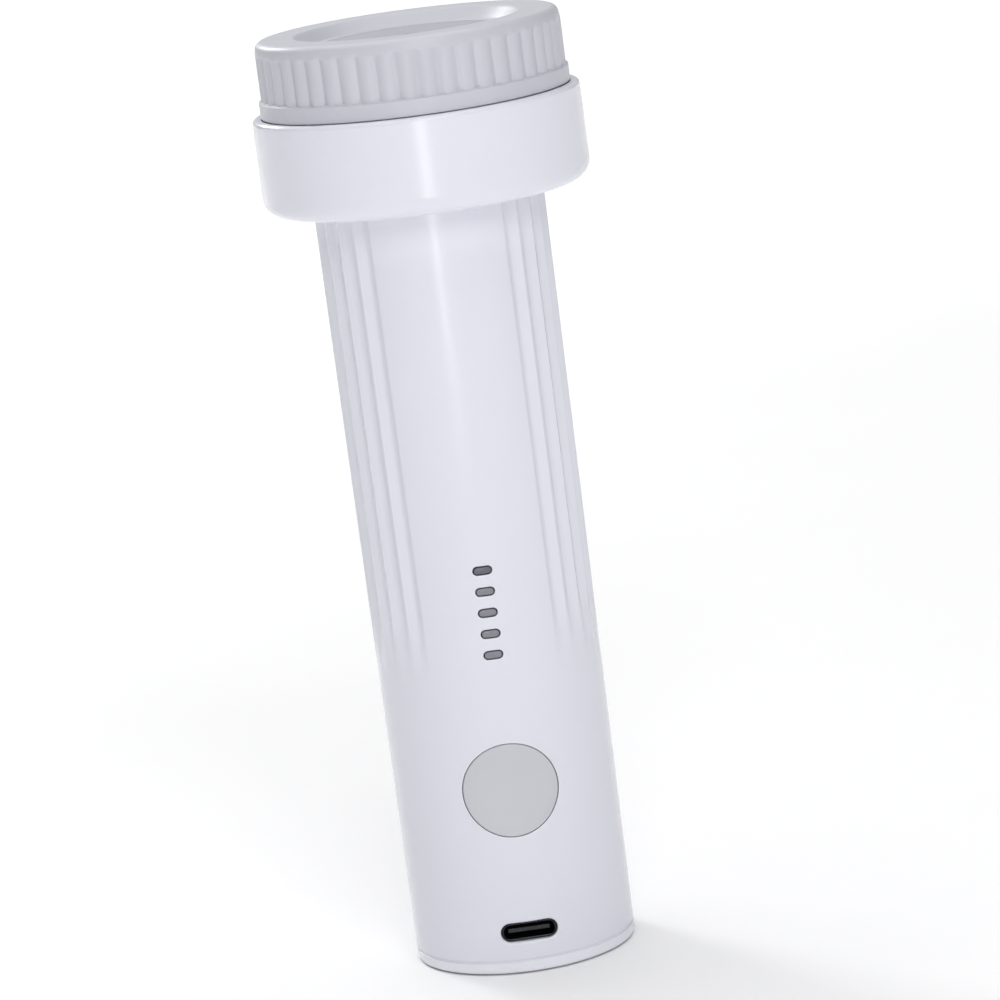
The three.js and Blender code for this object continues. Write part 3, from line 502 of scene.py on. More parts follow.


# Name, colour, roughness, grain, grain height, mottle, rubbed edges with painted shade in hollows, and
# spread.
WHITE_SHELL = plastic("white_shell", (0.78, 0.79, 0.86), 0.2, 0.25, 0.001, 0.012, 0.05, 0.03)
GREY_GRIP = plastic("grey_grip", (0.595, 0.6, 0.655), 0.38, 0.16, 0.012, 0.03, 0.08, 0.05)
# The inlet plate's grey is darker than the grip's: painted shade for the recess of the mouth it lies in.
GREY_GRIP_PAINTED_SHADE = plastic("grey_grip_painted_shade", (0.45, 0.455, 0.5), 0.75, 0.16, 0.01, 0.03, 0.08, 0.05, specular=0.25)
# The foot's white is lighter than the shell's: painted light against the shade close to the floor.
WHITE_SHELL_PAINTED_LIGHT = plastic("white_shell_painted_light", (0.86, 0.87, 0.93), 0.23, 0.25, 0.001, 0.012, 0.05, 0.03)
BUTTON_GREY = plastic("button_grey", (0.6, 0.61, 0.645), 0.46, 0.2, 0.003, 0.02, 0.05, 0.05)
WINDOW = plastic("window", (0.24, 0.24, 0.272), 0.3, 0.2, 0.001, 0.04, 0.04, 0.05, subsurface=0.2)
WINDOW_DARK = plastic("window_dark", (0.13, 0.13, 0.155), 0.3, 0.2, 0.001, 0.04, 0.04, 0.05, subsurface=0.2)
NATURAL = plastic("natural_plastic", (0.7, 0.7, 0.66), 0.5, 0.3, 0.004, 0.04, 0.05, 0.06, subsurface=0.3)
BLACK = plastic("black_plastic", (0.02, 0.021, 0.025), 0.5, 0.2, 0.004, 0.1, 0.05, 0.08)
SILICONE = plastic("silicone", (0.75, 0.75, 0.75), 0.45, 0.4, 0.003, 0.03, 0.03, 0.05, subsurface=0.5)
RUBBER = plastic("rubber", (0.03, 0.03, 0.031), 0.8, 0.25, 0.012, 0.15, 0.08, 0.08)
MAGNET = plastic("magnet", (0.06, 0.06, 0.065), 0.7, 0.15, 0.012, 0.2, 0.1, 0.1, metallic=0.3, specks=0.4)
BOARD = plastic("circuit_board", (0.015, 0.12, 0.05), 0.4, 0.5, 0.006, 0.15, 0.05, 0.08, coat=0.4)
CELL = plastic("cell_wrap", (0.04, 0.17, 0.42), 0.35, 1.2, 0.01, 0.05, 0.06, 0.08)
LED = plastic("led", (0.85, 0.83, 0.6), 0.35, 0.3, 0.002, 0.04, 0.05, 0.05, subsurface=0.3)
FOAM = plastic("foam", (0.1, 0.11, 0.12), 0.95, 0.45, 0.25, 0.35, 0.1, 0.03, specks=0.6)


def metal(name, colour, roughness, brush=(1.0, 1.0, 12.0), scratches=0.5):
    """Drawn or turned metal with fine lines along one axis, uneven gloss and dull patches."""
    material, tree, shader = node_tree(name)
    colour = (*colour, 1.0)
    place = new_node(tree, "ShaderNodeTexCoord").outputs["Object"]
    stretch = new_node(tree, "ShaderNodeMapping")
    stretch.inputs["Scale"].default_value = brush
    tree.links.new(place, stretch.inputs["Vector"])
    lines = noise(tree, stretch.outputs["Vector"], 1.2, 6.0, 0.7)
    patches = noise(tree, place, 2.5, 4.0)
    tone = mixed(tree, remap(tree, patches, 0.3, 0.7, 0.0, 1.0), scaled(colour, 0.9), scaled(colour, 1.05))
    edge = new_node(tree, "ShaderNodeNewGeometry").outputs["Pointiness"]
    tone = mixed(tree, remap(tree, edge, 0.53, 0.62, 0.0, 0.4), tone, scaled(colour, 1.3))
    tree.links.new(tone, shader.inputs["Base Color"])
    gloss = remap(tree, lines, 0.3, 0.7, roughness - 0.08, roughness + 0.1 * scratches + 0.05)
    tree.links.new(gloss, shader.inputs["Roughness"])
    bump = new_node(tree, "ShaderNodeBump")
    bump.inputs["Strength"].default_value = 1.0
    bump.inputs["Distance"].default_value = 0.004 * scratches * MM
    tree.links.new(lines, bump.inputs["Height"])
    tree.links.new(bump.outputs["Normal"], shader.inputs["Normal"])
    shader.inputs["Metallic"].default_value = 1.0
    return material


# Name, colour, roughness, stretch of the fine lines and strength of the scratches.
STEEL = metal("steel", (0.6, 0.61, 0.63), 0.32)
DARK_STEEL = metal("dark_steel", (0.04, 0.042, 0.05), 0.38, (1.0, 12.0, 1.0))
COPPER = metal("copper", (0.62, 0.3, 0.15), 0.35, (1.0, 1.0, 20.0), 1.5)
GOLD = metal("contact_gold", (0.8, 0.58, 0.25), 0.28, (1.0, 12.0, 1.0))

SLOT_LOOKS = {
    "white_shell": WHITE_SHELL, "grey_grip": GREY_GRIP, "button_grey": BUTTON_GREY, "window": WINDOW,
    "natural_plastic": NATURAL, "black_plastic": BLACK, "silicone": SILICONE, "rubber": RUBBER,
    "steel": STEEL, "dark_steel": DARK_STEEL, "copper": COPPER, "magnet": MAGNET,
    "circuit_board": BOARD, "cell_wrap": CELL, "foam": FOAM, "led": LED,
}


def dress_frame():
    """Gives each CAD node its slot's material."""
    for part in frame["record"]["subparts"]:
        node = frame["nodes"][part["node"]]
        node.data.materials.clear()
        node.data.materials.append(SLOT_LOOKS[part["material_slot"]])


# ---------------------------------------------------------------- body tube
def body_radius(z):
    """Radius of the tapered body at a height, without the flutes."""
    return BASE_RADIUS + BODY_TAPER * z


def flute_drop(turn, z):
    """How far the fluted surface lies below the round one."""
    aside = abs((turn + 180) % 360 - 180)
    aside = min(aside, 180 - aside)
    along = (aside - PANEL_TURN) / FLUTE_TURN
    arc = math.radians(FLUTE_TURN) * body_radius(z)
    if along >= 0:
        distance, lobe = (0.5 - abs(along % 1.0 - 0.5)) * arc, arc / 2
    else:
        distance, lobe = -along * arc, PANEL_SHOULDER
    depth = FLUTE_DEPTH * smoothstep(z, *FLUTE_FADE)
    return valley(distance, lobe, FLUTE_SOFTNESS, depth, FLUTE_SHAPE)


def panel_columns():
    """The x of the front panel's columns, closest together where the holes are."""
    half = spaced(0.0, LIGHT_PATCH, 0.37) + spaced(LIGHT_PATCH, USB_PATCH, 0.5)
    half += spaced(USB_PATCH, BUTTON_PATCH, 0.5) + [BUTTON_PATCH]
    return [-x for x in reversed(half[1:])] + half


def side_columns():
    """Turns of the other columns, from one end of the panel's columns round the back to the other."""
    edge = turn_at(BUTTON_PATCH, body_radius(TUBE_TOP))
    shoulder = PANEL_TURN - math.degrees(PANEL_SHOULDER / BASE_RADIUS)
    side = spaced(edge + 1.6, shoulder, 1.2) + spaced(shoulder, PANEL_TURN, 0.55)
    for flute in range(FLUTES):
        side += [PANEL_TURN + FLUTE_TURN * (flute + share) for share in eased_shares(12)]
    side += spaced(180 - PANEL_TURN, 180 - shoulder, 0.55) + spaced(180 - shoulder, 180, 2.4)
    return side + [180.0] + [360 - turn for turn in reversed(side)]


def body_rows():
    """Heights of the grid's rows, and the number of the row at each border of a patch."""
    half_usb, half_button, half_light = 3.2, BUTTON_PATCH, LIGHT_PITCH / 2
    stations = [
        (USB_HEIGHT - half_usb, 0.6), (USB_HEIGHT + half_usb, 0.4),
        (BUTTON_HEIGHT - half_button, 1.3), (BUTTON_HEIGHT + half_button, 0.46),
        (LIGHT_HEIGHTS[0] - half_light, 1.1), *((height + half_light, 0.28) for height in LIGHT_HEIGHTS),
        (TUBE_TOP - 0.4, 2.2),
    ]
    heights, borders = [], []
    start = TUBE_BOTTOM + 0.3
    for end, step in stations:
        heights += spaced(start, end, step)
        borders.append(len(heights))
        start = end
    return heights + [start], borders


def edge_arc(radius, angles):
    """(distance from the end, inset) of points on a rounded edge, with 90 degrees on the end face."""
    arc = [math.radians(angle) for angle in angles]
    return [(radius * (1 - math.sin(a)), radius * (1 - math.cos(a))) for a in arc]


def inner_turn(turn):
    """Turn on the inside of the wall of a column beside the panel. The two even out towards the side."""
    edge = turn_at(BUTTON_PATCH, BODY_INSIDE)
    start, end = 31.0, 75.0
    aside = abs((turn + 180) % 360 - 180)
    if aside >= end:
        return turn
    eased = edge + (aside - start) / (end - start) * (end - edge)
    return eased if turn < 180 else -eased


def tube_grid(profile, xs, turns):
    """Points of the wall, and the vertex numbers of its outer and inner skin, row by row."""
    points, outer, inner = [], [], []
    for z, inset in profile:
        radius = body_radius(z) - inset
        columns = [(turn_at(x, radius), turn_at(x, BODY_INSIDE)) for x in xs]
        columns += [(turn, inner_turn(turn)) for turn in turns]
        first = len(points)
        for turn, lining_turn in columns:
            points.append((*polar(radius - flute_drop(turn, z), turn), z))
            points.append((*polar(BODY_INSIDE, lining_turn), z))
        outer.append(list(range(first, len(points), 2)))
        inner.append(list(range(first + 1, len(points), 2)))
    return points, outer, inner


def patch_loop(grid, patch):
    """Vertex numbers round a patch of a grid, from the middle of its lower side towards its last column."""
    first_row, last_row, first_column, last_column = patch
    columns = list(range(first_column, last_column + 1))
    rows = list(range(first_row, last_row + 1))
    loop = [(first_row, c) for c in columns[:-1]]
    loop += [(r, last_column) for r in rows[:-1]]
    loop += [(last_row, c) for c in reversed(columns[1:])]
    loop += [(r, first_column) for r in reversed(rows[1:])]
    start = (len(columns) - 1) // 2
    return [grid[r][c] for r, c in loop[start:] + loop[:start]]


def on_wall(x, z, inside=False, sink=0.0):
    """A point on the wall's outer or inner skin, or sunk below it."""
    radius = BODY_INSIDE if inside else body_radius(z)
    return x, -math.sqrt(radius ** 2 - x ** 2) + sink, z


def line_hole(points, outer, inner, outline, height, edge, rings):
    """Faces from a patch's outer border over a hole's rounded edge and through it to the inner border."""
    places = [(points[i][0], points[i][2]) for i in outer]
    rim = [outline(k / len(places)) for k in range(len(places))]

    def ring(grow, share, inside=False, sink=0.0):
        row = []
        for (x, z), (u, v, nu, nv) in zip(places, rim):
            hole_x = u + nu * grow
            hole_z = height + v + nv * grow
            row.append(len(points))
            points.append(on_wall(hole_x + (x - hole_x) * share, hole_z + (z - hole_z) * share, inside, sink))
        return row

    rows = [outer] + [ring(edge, (k / rings) ** 1.3) for k in range(rings - 1, 0, -1)]
    for degrees in range(0, 91, 18):
        angle = math.radians(degrees)
        rows.append(ring(edge * (1 - math.sin(angle)), 0.0, sink=edge * (1 - math.cos(angle))))
    rows.append(ring(0.0, 0.0, sink=edge + 0.12))
    rows += [ring(0.0, share, inside=True) for share in (0.0, 0.4)] + [inner]
    return [face for low, high in zip(rows, rows[1:]) for face in band(low, high)]


def wall_faces(outer, inner, patches):
    """Faces of both skins outside the patches, and of the wall's two ends."""
    faces = []
    count = len(outer[0])
    for i in range(len(outer) - 1):
        for j in range(count):
            if any(low <= i < high and left <= j < right for low, high, left, right in patches):
                continue
            k = (j + 1) % count
            faces.append((outer[i][j], outer[i][k], outer[i + 1][k], outer[i + 1][j]))
            faces.append((inner[i][j], inner[i + 1][j], inner[i + 1][k], inner[i][k]))
    return faces + band(inner[0], outer[0]) + band(outer[-1], inner[-1])


def build_body_tube():
    """The tube's wall, with the holes for the socket, the button and the lights in its front panel."""
    xs, turns = panel_columns(), side_columns()
    heights, borders = body_rows()
    profile = [(TUBE_BOTTOM + away, inset) for away, inset in edge_arc(0.22, (90, 67.5, 45, 22.5))]
    below = len(profile)
    profile += [(z, 0.0) for z in heights]
    profile += [(TUBE_TOP - away, inset) for away, inset in edge_arc(0.3, (22.5, 45, 67.5, 90))]
    points, outer, inner = tube_grid(profile, xs, turns)
    faces, patches = [], []

    def hole(border, half_width, outline, height, edge, rings):
        left = min(range(len(xs)), key=lambda i: abs(xs[i] + half_width))
        patch = (borders[border] + below, borders[border + 1] + below, left, len(xs) - 1 - left)
        around, lining = patch_loop(outer, patch), patch_loop(inner, patch)
        faces.extend(line_hole(points, around, lining, outline, height, edge, rings))
        patches.append(patch)

    hole(0, USB_PATCH, stadium(*USB_OPENING), USB_HEIGHT, 0.42, 5)
    hole(2, BUTTON_PATCH, circle(BUTTON_HOLE), BUTTON_HEIGHT, 0.12, 4)
    light = stadium(*(size + 2 * LIGHT_CLEARANCE for size in LIGHT_SIZE))
    for number, height in enumerate(LIGHT_HEIGHTS):
        hole(4 + number, LIGHT_PATCH, light, height, 0.1, 3)
    faces += wall_faces(outer, inner, patches)
    make_piece("body_tube_shell", (points, faces), "casing", "white_shell", WHITE_SHELL, "body_tube")


# ---------------------------------------------------------------- base cap and its screws
BASE_SCREWS = [node_box("base_screw_1"), node_box("base_screw_2")]


def build_base_cap():
    """The foot: a thin rim under the parting line, with a lip that the tube sits on."""
    rim_top, groove, seam = 1.75, 17.28, 0.02
    lip, lip_top, inside = 15.5, 3.9, 13.9
    outline = rounded([
        (0.0, 0.0, 0), (BASE_RADIUS, 0.0, 0.6), (BASE_RADIUS, rim_top, 0.15), (groove, rim_top, 0.05),
        (groove, TUBE_BOTTOM - seam, 0.03), (lip + 0.1, TUBE_BOTTOM - seam, 0), (lip, TUBE_BOTTOM, 0.02),
        (lip, lip_top, 0.3), (inside, lip_top, 0.3), (inside, rim_top, 0.3), (0.0, rim_top, 0),
    ], closed=False)
    shape = lathe(outline, even_turns(200))
    # The foot's white is lighter than the tube's: painted light against the shade close to the floor.
    cap = make_piece("base_cap_shell", shape, "casing", "white_shell", WHITE_SHELL_PAINTED_LIGHT, "base_cap")
    radius, depth, bevel = 2.4, 1.6, 0.35
    recess = lathe(rounded([
        (0, -1, 0), (radius + bevel, -1, 0), (radius + bevel, -0.01, 0), (radius, 0.3, 0.2),
        (radius, depth, 0.2), (0, depth, 0),
    ], closed=False), even_turns(64))
    middles = [(low + high) / 2 for low, high in BASE_SCREWS]
    cut_by(cap, *(moved(recess, middle.x, middle.y) for middle in middles))


def screw(radius, height, shank, length, socket):
    """A cap screw with its head down: a rounded head on z = 0, with a hexagonal socket, and a shank above."""
    def hexagon(r, z, turn):
        if abs(r - socket) > 1e-4:
            return r
        return socket * math.cos(math.pi / 6) / math.cos(math.radians((turn % 60) - 30))

    depth, mouth, tip = height * 0.55, socket + 0.12, height + length
    outline = [(0.0, depth), (socket, depth), (socket, 0.1), (mouth, 0.0)]
    outline += rounded([
        (mouth, 0.0, 0), (radius, 0.0, height * 0.3), (radius, height, 0.08), (shank, height, 0.1),
        (shank, tip - shank * 0.6, 0.05), (shank * 0.4, tip, 0.05), (0.0, tip, 0),
    ], closed=False)[1:]
    return lathe(outline, even_turns(72), hexagon)


def build_base_screws():
    """The two screws that hold the base cap, each in its recess."""
    head, head_height, shank, socket = 2.0, 1.3, 1.0, 1.0
    for number, (low, high) in enumerate(BASE_SCREWS, 1):
        middle = (low + high) / 2
        upright = screw(head, head_height, shank, high.z - low.z - head_height, socket)
        shape = moved(upright, middle.x, middle.y, low.z)
        make_piece(f"base_cap_screw_{number}", shape, "casing", "steel", STEEL, f"base_screw_{number}")


# ---------------------------------------------------------------- head collar
def helix(root, crest, start_z):
    """A thread's ridge: four rails along a helix, which fade out and close at both ends."""
    steps = 160
    points, faces = [], []
    section = [(root, -0.5), (root, 0.5), (crest, 0.22), (crest, -0.22)]
    for i in range(steps + 1):
        along = i / steps
        fade = max(0.05, min(1.0, along * 14, (1 - along) * 14))
        turn = 360 * THREAD_TURNS * along
        z = start_z + THREAD_TURNS * THREAD_PITCH * along
        for radius, side in section:
            points.append((*polar(root + (radius - root) * fade, turn), z + side * THREAD_WIDTH))
    for i in range(0, 4 * steps, 4):
        faces += band(range(i, i + 4), range(i + 4, i + 8))
    faces += [(0, 1, 2, 3), tuple(4 * steps + k for k in (3, 2, 1, 0))]
    return points, faces


def build_collar():
    """The wide collar: an outer wall with the thread, and an inner sleeve with a lip on the tube's end."""
    bore = body_radius(COLLAR_BOTTOM) + 0.3
    floor, sleeve, sleeve_top = 124.2, 20.2, 131.5
    lip, lip_bottom = 14.2, TUBE_TOP + 0.3
    outline = rounded([
        (bore, COLLAR_BOTTOM, 0.35), (COLLAR_RADIUS, COLLAR_BOTTOM, 3.0),
        (COLLAR_RADIUS - 0.1, COLLAR_TOP, 1.1), (COLLAR_INSIDE, COLLAR_TOP, 0.3),
        (COLLAR_INSIDE, floor, 0.5), (sleeve, floor, 0.5), (sleeve, sleeve_top, 0.2),
        (lip, sleeve_top, 0.2), (lip, lip_bottom, 0.1), (bore, lip_bottom, 0.1),
    ], bend=6.0)
    shape = lathe(outline, even_turns(240))
    shell = make_piece("head_collar_shell", shape, "casing", "white_shell", WHITE_SHELL, "head_collar")
    radius, circle_radius, below, above = 1.3, 16.0, 126, 133
    hole = lathe([(0, below), (radius, below), (radius, above), (0, above)], even_turns(24))
    cut_by(shell, *(moved(hole, *polar(circle_radius, turn)) for turn in even_turns(3, 60)))
    thread = helix(COLLAR_INSIDE + 0.3, COLLAR_INSIDE - 1.4, THREAD_BOTTOM + THREAD_PITCH / 2)
    make_piece("head_collar_thread", thread, "casing", "white_shell", WHITE_SHELL)


# ---------------------------------------------------------------- grip ring
RIBBED_BEYOND = 22.9
RIBBED_ABOVE = FLANGE_TOP + 0.1


def ring_outline():
    """Closed outline of the ring without its ribs, with extra points up its outer wall."""
    crown = 23.5
    cup, cup_ceiling, skirt_inside, lip_thickness = 16.6, 146.6, 21.1, 0.35
    throat_bottom = 141.3
    outline = rounded([
        (SKIRT_RADIUS, FLANGE_BOTTOM, 0.15), (RING_RADIUS, FLANGE_BOTTOM, 0.16),
        (RING_RADIUS, FLANGE_TOP, 0.18), (RIB_RADIUS, FLANGE_TOP + 0.12, 0.06),
        (RIB_RADIUS, RIB_TOP, 0.6), (crown, RING_TOP, 1.5), (MOUTH_RADIUS, RING_TOP, 1.1),
        (MOUTH_THROAT + 0.3, MOUTH_FLOOR, 0.8), (LIP_RADIUS, MOUTH_FLOOR, 0),
        (LIP_RADIUS, MOUTH_FLOOR - lip_thickness, 0), (MOUTH_THROAT, MOUTH_FLOOR - lip_thickness, 0),
        (MOUTH_THROAT, throat_bottom, 0.1), (cup, throat_bottom, 0.1), (cup, cup_ceiling, 0.1),
        (skirt_inside, cup_ceiling, 0.3), (skirt_inside, SKIRT_BOTTOM, 0.2),
        (SKIRT_RADIUS, SKIRT_BOTTOM, 0.2),
    ], bend=7.0)
    finer = []
    for (r, z), (next_r, next_z) in zip(outline, outline[1:] + outline[:1]):
        rise = abs(next_z - z)
        ribbed_stretch = min(r, next_r) > RIBBED_BEYOND and min(z, next_z) > RIBBED_ABOVE and rise > 0.5
        count = math.ceil(rise / 0.6) if ribbed_stretch else 1
        finer += [(r + (next_r - r) * k / count, z + (next_z - z) * k / count) for k in range(count)]
    return finer


def ribbed(r, z, turn):
    """Radius of the ring's surface: convex ribs with narrow valleys, which fade out at both ends."""
    if r < RIBBED_BEYOND or z < RIBBED_ABOVE:
        return r
    along = (turn * RIB_COUNT / 360 + RIB_PHASE) % 1.0
    width = 2 * math.pi * RIB_RADIUS / RIB_COUNT
    drop = valley(min(along, 1 - along) * width, width / 2, RIB_SOFTNESS, RIB_DEPTH, 2.0)
    foot = smoothstep(z, FLANGE_TOP + 0.05, FLANGE_TOP + 0.25)
    head = 1 - smoothstep(z, RIB_TOP - 0.5, RIB_TOP + 0.4)
    return min(r, RIB_RADIUS) - drop * foot * head


def build_grip_ring():
    """The ribbed ring with its mouth, and the thread on its skirt."""
    ribs = [rib + share for rib in range(RIB_COUNT) for share in eased_shares(14)]
    turns = [(along - RIB_PHASE) * 360 / RIB_COUNT for along in ribs]
    shape = lathe(ring_outline(), turns, ribbed)
    make_piece("grip_ring_shell", shape, "ring", "grey_grip", GREY_GRIP, "grip_ring")
    thread = helix(SKIRT_RADIUS - 0.3, SKIRT_RADIUS + 1.2, THREAD_BOTTOM)
    make_piece("grip_ring_thread", thread, "ring", "grey_grip", GREY_GRIP)


# ---------------------------------------------------------------- filter in the mouth
def build_filter_cup():
    """The cup that holds the foam: a flange with a rim above it, a spout below it and two keys."""
    cup_low, cup_high = node_box("filter_cup")
    floor, flange_top = 139.4, 141.0
    rim, rim_inside = 14.7, 13.4
    spout, spout_inside, spout_bottom, bore = 7.2, 5.6, 135.2, 2.5
    cup = lathe(rounded([
        (bore, floor, 0.1), (spout_inside, floor, 0.1), (spout_inside, spout_bottom, 0.2),
        (spout, spout_bottom, 0.2), (spout, floor, 0.3), (cup_high.x, floor, 0.3),
        (cup_high.x, flange_top, 0.3), (rim, flange_top, 0.2), (rim, cup_high.z, 0.35),
        (rim_inside, cup_high.z, 0.35), (rim_inside, flange_top, 0.3), (bore, flange_top, 0.1),
    ]), even_turns(160))

    def oval(r, z, turn):
        return r * (1 + 0.5 * abs(math.cos(math.radians(turn))))

    radius, bottom, top, key_place = 1.0, cup_low.z, floor + 0.3, 10.0
    outline = rounded([(0, bottom, 0), (radius, bottom, 0.3), (radius, top, 0), (0, top, 0)], closed=False)
    key = lathe(outline, even_turns(32), oval)
    shape = merged(cup, moved(key, -key_place), moved(key, key_place))
    make_piece("filter_cup_shell", shape, "filter_insert", "grey_grip", GREY_GRIP, "filter_cup")


def build_inlet_plate():
    """The floor of the mouth: a disc with a softened edge and seven small countersunk inlet holes."""
    low, high = node_box("inlet_plate")
    bottom, top, radius = low.z, high.z, high.x
    hole, hole_circle, countersink = 0.5, 1.75, 0.15
    seat, rebate = LIP_RADIUS - 0.04, top - 0.4
    outline = rounded([(0, bottom, 0), (radius, bottom, 0.15), (radius, rebate, 0.1), (seat, rebate, 0.05),
                       (seat, top, 0.03), (0, top, 0)], closed=False)
    shape = lathe(outline, even_turns(180))
    # Its grey is darker than the ring's: painted shade of the mouth's recess.
    plate = make_piece("inlet_plate_disc", shape, "filter_insert", "grey_grip", GREY_GRIP_PAINTED_SHADE, "inlet_plate")
    drill = lathe([(0, bottom - 1), (hole, bottom - 1), (hole, top - countersink), (hole + countersink, top),
                   (hole + countersink, top + 1), (0, top + 1)], even_turns(32))
    places = [(0.0, 0.0)] + [polar(hole_circle, turn) for turn in even_turns(6)]
    cut_by(plate, *(moved(drill, x, y) for x, y in places))


def build_foam():
    """A disc of open-cell foam whose surface is uneven by a tenth of a millimetre."""
    low, high = node_box("filter_foam")
    bottom, top, radius = low.z, high.z, high.x

    def uneven(r, z, turn):
        wave = math.sin(turn * 0.61 + r * 3.1) * math.cos(turn * 0.37 - z * 5.0)
        return r if r < 1 else min(radius, r + 0.06 * wave - 0.06)

    corners = rounded([(0, bottom, 0), (radius, bottom, 0.3), (radius, top, 0.4), (0, top, 0)], closed=False)
    outline = []
    for (r, z), (next_r, next_z) in zip(corners, corners[1:]):
        count = max(1, math.ceil(abs(next_r - r) / 0.8))
        outline += [(r + (next_r - r) * k / count, z + (next_z - z) * k / count) for k in range(count)]
    shape = lathe(outline + [corners[-1]], even_turns(120), uneven)
    make_piece("filter_foam_disc", shape, "filter_insert", "foam", FOAM, "filter_foam")


# ---------------------------------------------------------------- controls on the front
def build_button():
    """The round power button: a dished cap that follows the body, with a flange behind the wall."""
    count = 128
    edge = 0.2
    flat = BUTTON_RADIUS - edge
    flange, flange_front, flange_rear = 8.4, -13.1, node_box("power_button")[1].y
    points, faces, rows = [], [], []

    def ring(radius, depth=None, y=None):
        row = []
        for j in range(count):
            angle = 2 * math.pi * j / count
            x, front, z = on_wall(radius * math.cos(angle), BUTTON_HEIGHT + radius * math.sin(angle))
            row.append(len(points))
            points.append((x, front + depth if y is None else y, z))
        rows.append(row)

    def dish(radius):
        return BUTTON_DISH * (1 - smoothstep(radius, 1.5, BUTTON_RADIUS - edge * 0.6))

    for k in range(1, 22):
        ring(flat * k / 21, dish(flat * k / 21))
    for k in range(1, 8):
        angle = math.radians(90 * k / 7)
        ring(flat + edge * math.sin(angle), dish(flat) + edge * (1 - math.cos(angle)))
    ring(BUTTON_RADIUS, edge + 0.15)
    behind = [(BUTTON_RADIUS, flange_front - 0.15), (BUTTON_RADIUS + 0.1, flange_front),
              (flange - 0.15, flange_front), (flange, flange_front + 0.15), (flange, flange_rear - 0.15),
              (flange - 0.15, flange_rear), (flange * 0.5, flange_rear)]
    for radius, y in behind:
        ring(radius, y=y)
    for low, high in zip(rows, rows[1:]):
        faces += band(low, high)
    front = on_wall(0.0, BUTTON_HEIGHT)[1] + BUTTON_DISH
    for row, y in ((rows[0], front), (rows[-1], flange_rear)):
        faces += [(len(points), row[j], row[(j + 1) % count]) for j in range(count)]
        points.append((0.0, y, BUTTON_HEIGHT))
    make_piece("power_button_cap", (points, faces), "button", "button_grey", BUTTON_GREY, "power_button")


def lens(outline, height, steps):
    """A closed plug in the wall. steps are (shrink, depth below the wall) from its middle outwards."""
    count = 64
    points, faces, rows = [], [], []
    rim = [outline(k / count) for k in range(count)]
    for shrink, depth in steps:
        rows.append(list(range(len(points), len(points) + count)))
        points += [on_wall(u - nu * shrink, height + v - nv * shrink, sink=depth) for u, v, nu, nv in rim]
    rows.append(list(range(len(points), len(points) + count)))
    points += [(u, LIGHT_REAR, height + v) for u, v, _, _ in rim]
    for low, high in zip(rows, rows[1:]):
        faces += band(low, high)
    faces.append(tuple(rows[-1]))
    first = rows[0]
    for j in range(count // 2):
        across = (first[j], first[j + 1], first[count - j - 1], first[(count - j) % count])
        faces.append(tuple(dict.fromkeys(across)))
    return points, [face for face in faces if len(face) > 2]


def build_light_windows():
    """Five small lenses in a column, the top one darker."""
    edge, sag = 0.12, 0.02
    steps = [(0.5, 0.0), (0.4, 0.005), (0.3, 0.01), (edge, sag)]
    for degrees in (22.5, 45, 67.5, 90):
        angle = math.radians(degrees)
        steps.append((edge * (1 - math.sin(angle)), sag + edge * (1 - math.cos(angle))))
    steps.append((0.0, edge + 0.2))
    for number, height in enumerate(LIGHT_HEIGHTS, 1):
        look = WINDOW_DARK if number == len(LIGHT_HEIGHTS) else WINDOW
        name = f"light_lens_{number}"
        shape = lens(stadium(*LIGHT_SIZE), height, steps)
        make_piece(name, shape, "casing", "window", look, f"light_window_{number}", crease=50)


def build_usb():
    """The charging socket: a drawn shell with a rolled front edge, and its tongue with contacts."""
    wall, front, rear = 0.35, shell_low.y, shell_high.y
    roll = wall / 2
    steps = [(0.0, rear), (0.0, front + wall)]
    for degrees in range(0, 181, 30):
        angle = math.radians(degrees)
        steps.append((roll * (1 - math.cos(angle)), front + roll * (1 - math.sin(angle))))
    steps += [(wall, front + wall), (wall, rear)]
    shell = along_y(rounded_box(*USB_SHELL, 1.3), USB_HEIGHT, steps, capped=False)
    make_piece("usb_socket_shell", shell, "casing", "dark_steel", DARK_STEEL, "usb_shell")

    tip, root, thick = node_box("usb_tongue")[0].y, -11.6, 0.35
    blade = along_y(rounded_box(6.7, 2 * thick, 0.12), USB_HEIGHT,
                    [(0.12, tip), (0.03, tip + 0.06), (0.0, tip + 0.2), (0.0, root)], capped=True)
    block = along_y(rounded_box(7.5, 1.8, 0.5), USB_HEIGHT,
                    [(0.2, root), (0.05, root + 0.05), (0.0, root + 0.2), (0.0, rear)], capped=True)
    make_piece("usb_tongue_blade", merged(blade, block), "casing", "black_plastic", BLACK, "usb_tongue")

    contacts = [contact_strip(k - 2.5, side, tip + 0.35, thick) for side in (-1, 1) for k in range(6)]
    make_piece("usb_contacts", merged(*contacts), "casing", "steel", GOLD)


def contact_strip(x, side, front, thick):
    """One gold contact lying on the tongue, with a sloped front end."""
    half, rise, length, slope = 0.2, 0.05, 3.2, 0.15
    z = USB_HEIGHT + side * thick
    top, sunk, rear = z + side * rise, z - side * rise, front + length
    outline = [(front, sunk), (front, z), (front + slope, top), (rear, top), (rear, sunk)]
    points = [(x - half, y, h) for y, h in outline] + [(x + half, y, h) for y, h in outline]
    n = len(outline)
    faces = [tuple(range(n)), tuple(range(2 * n - 1, n - 1, -1))]
    return points, faces + band(range(n), range(n, 2 * n))


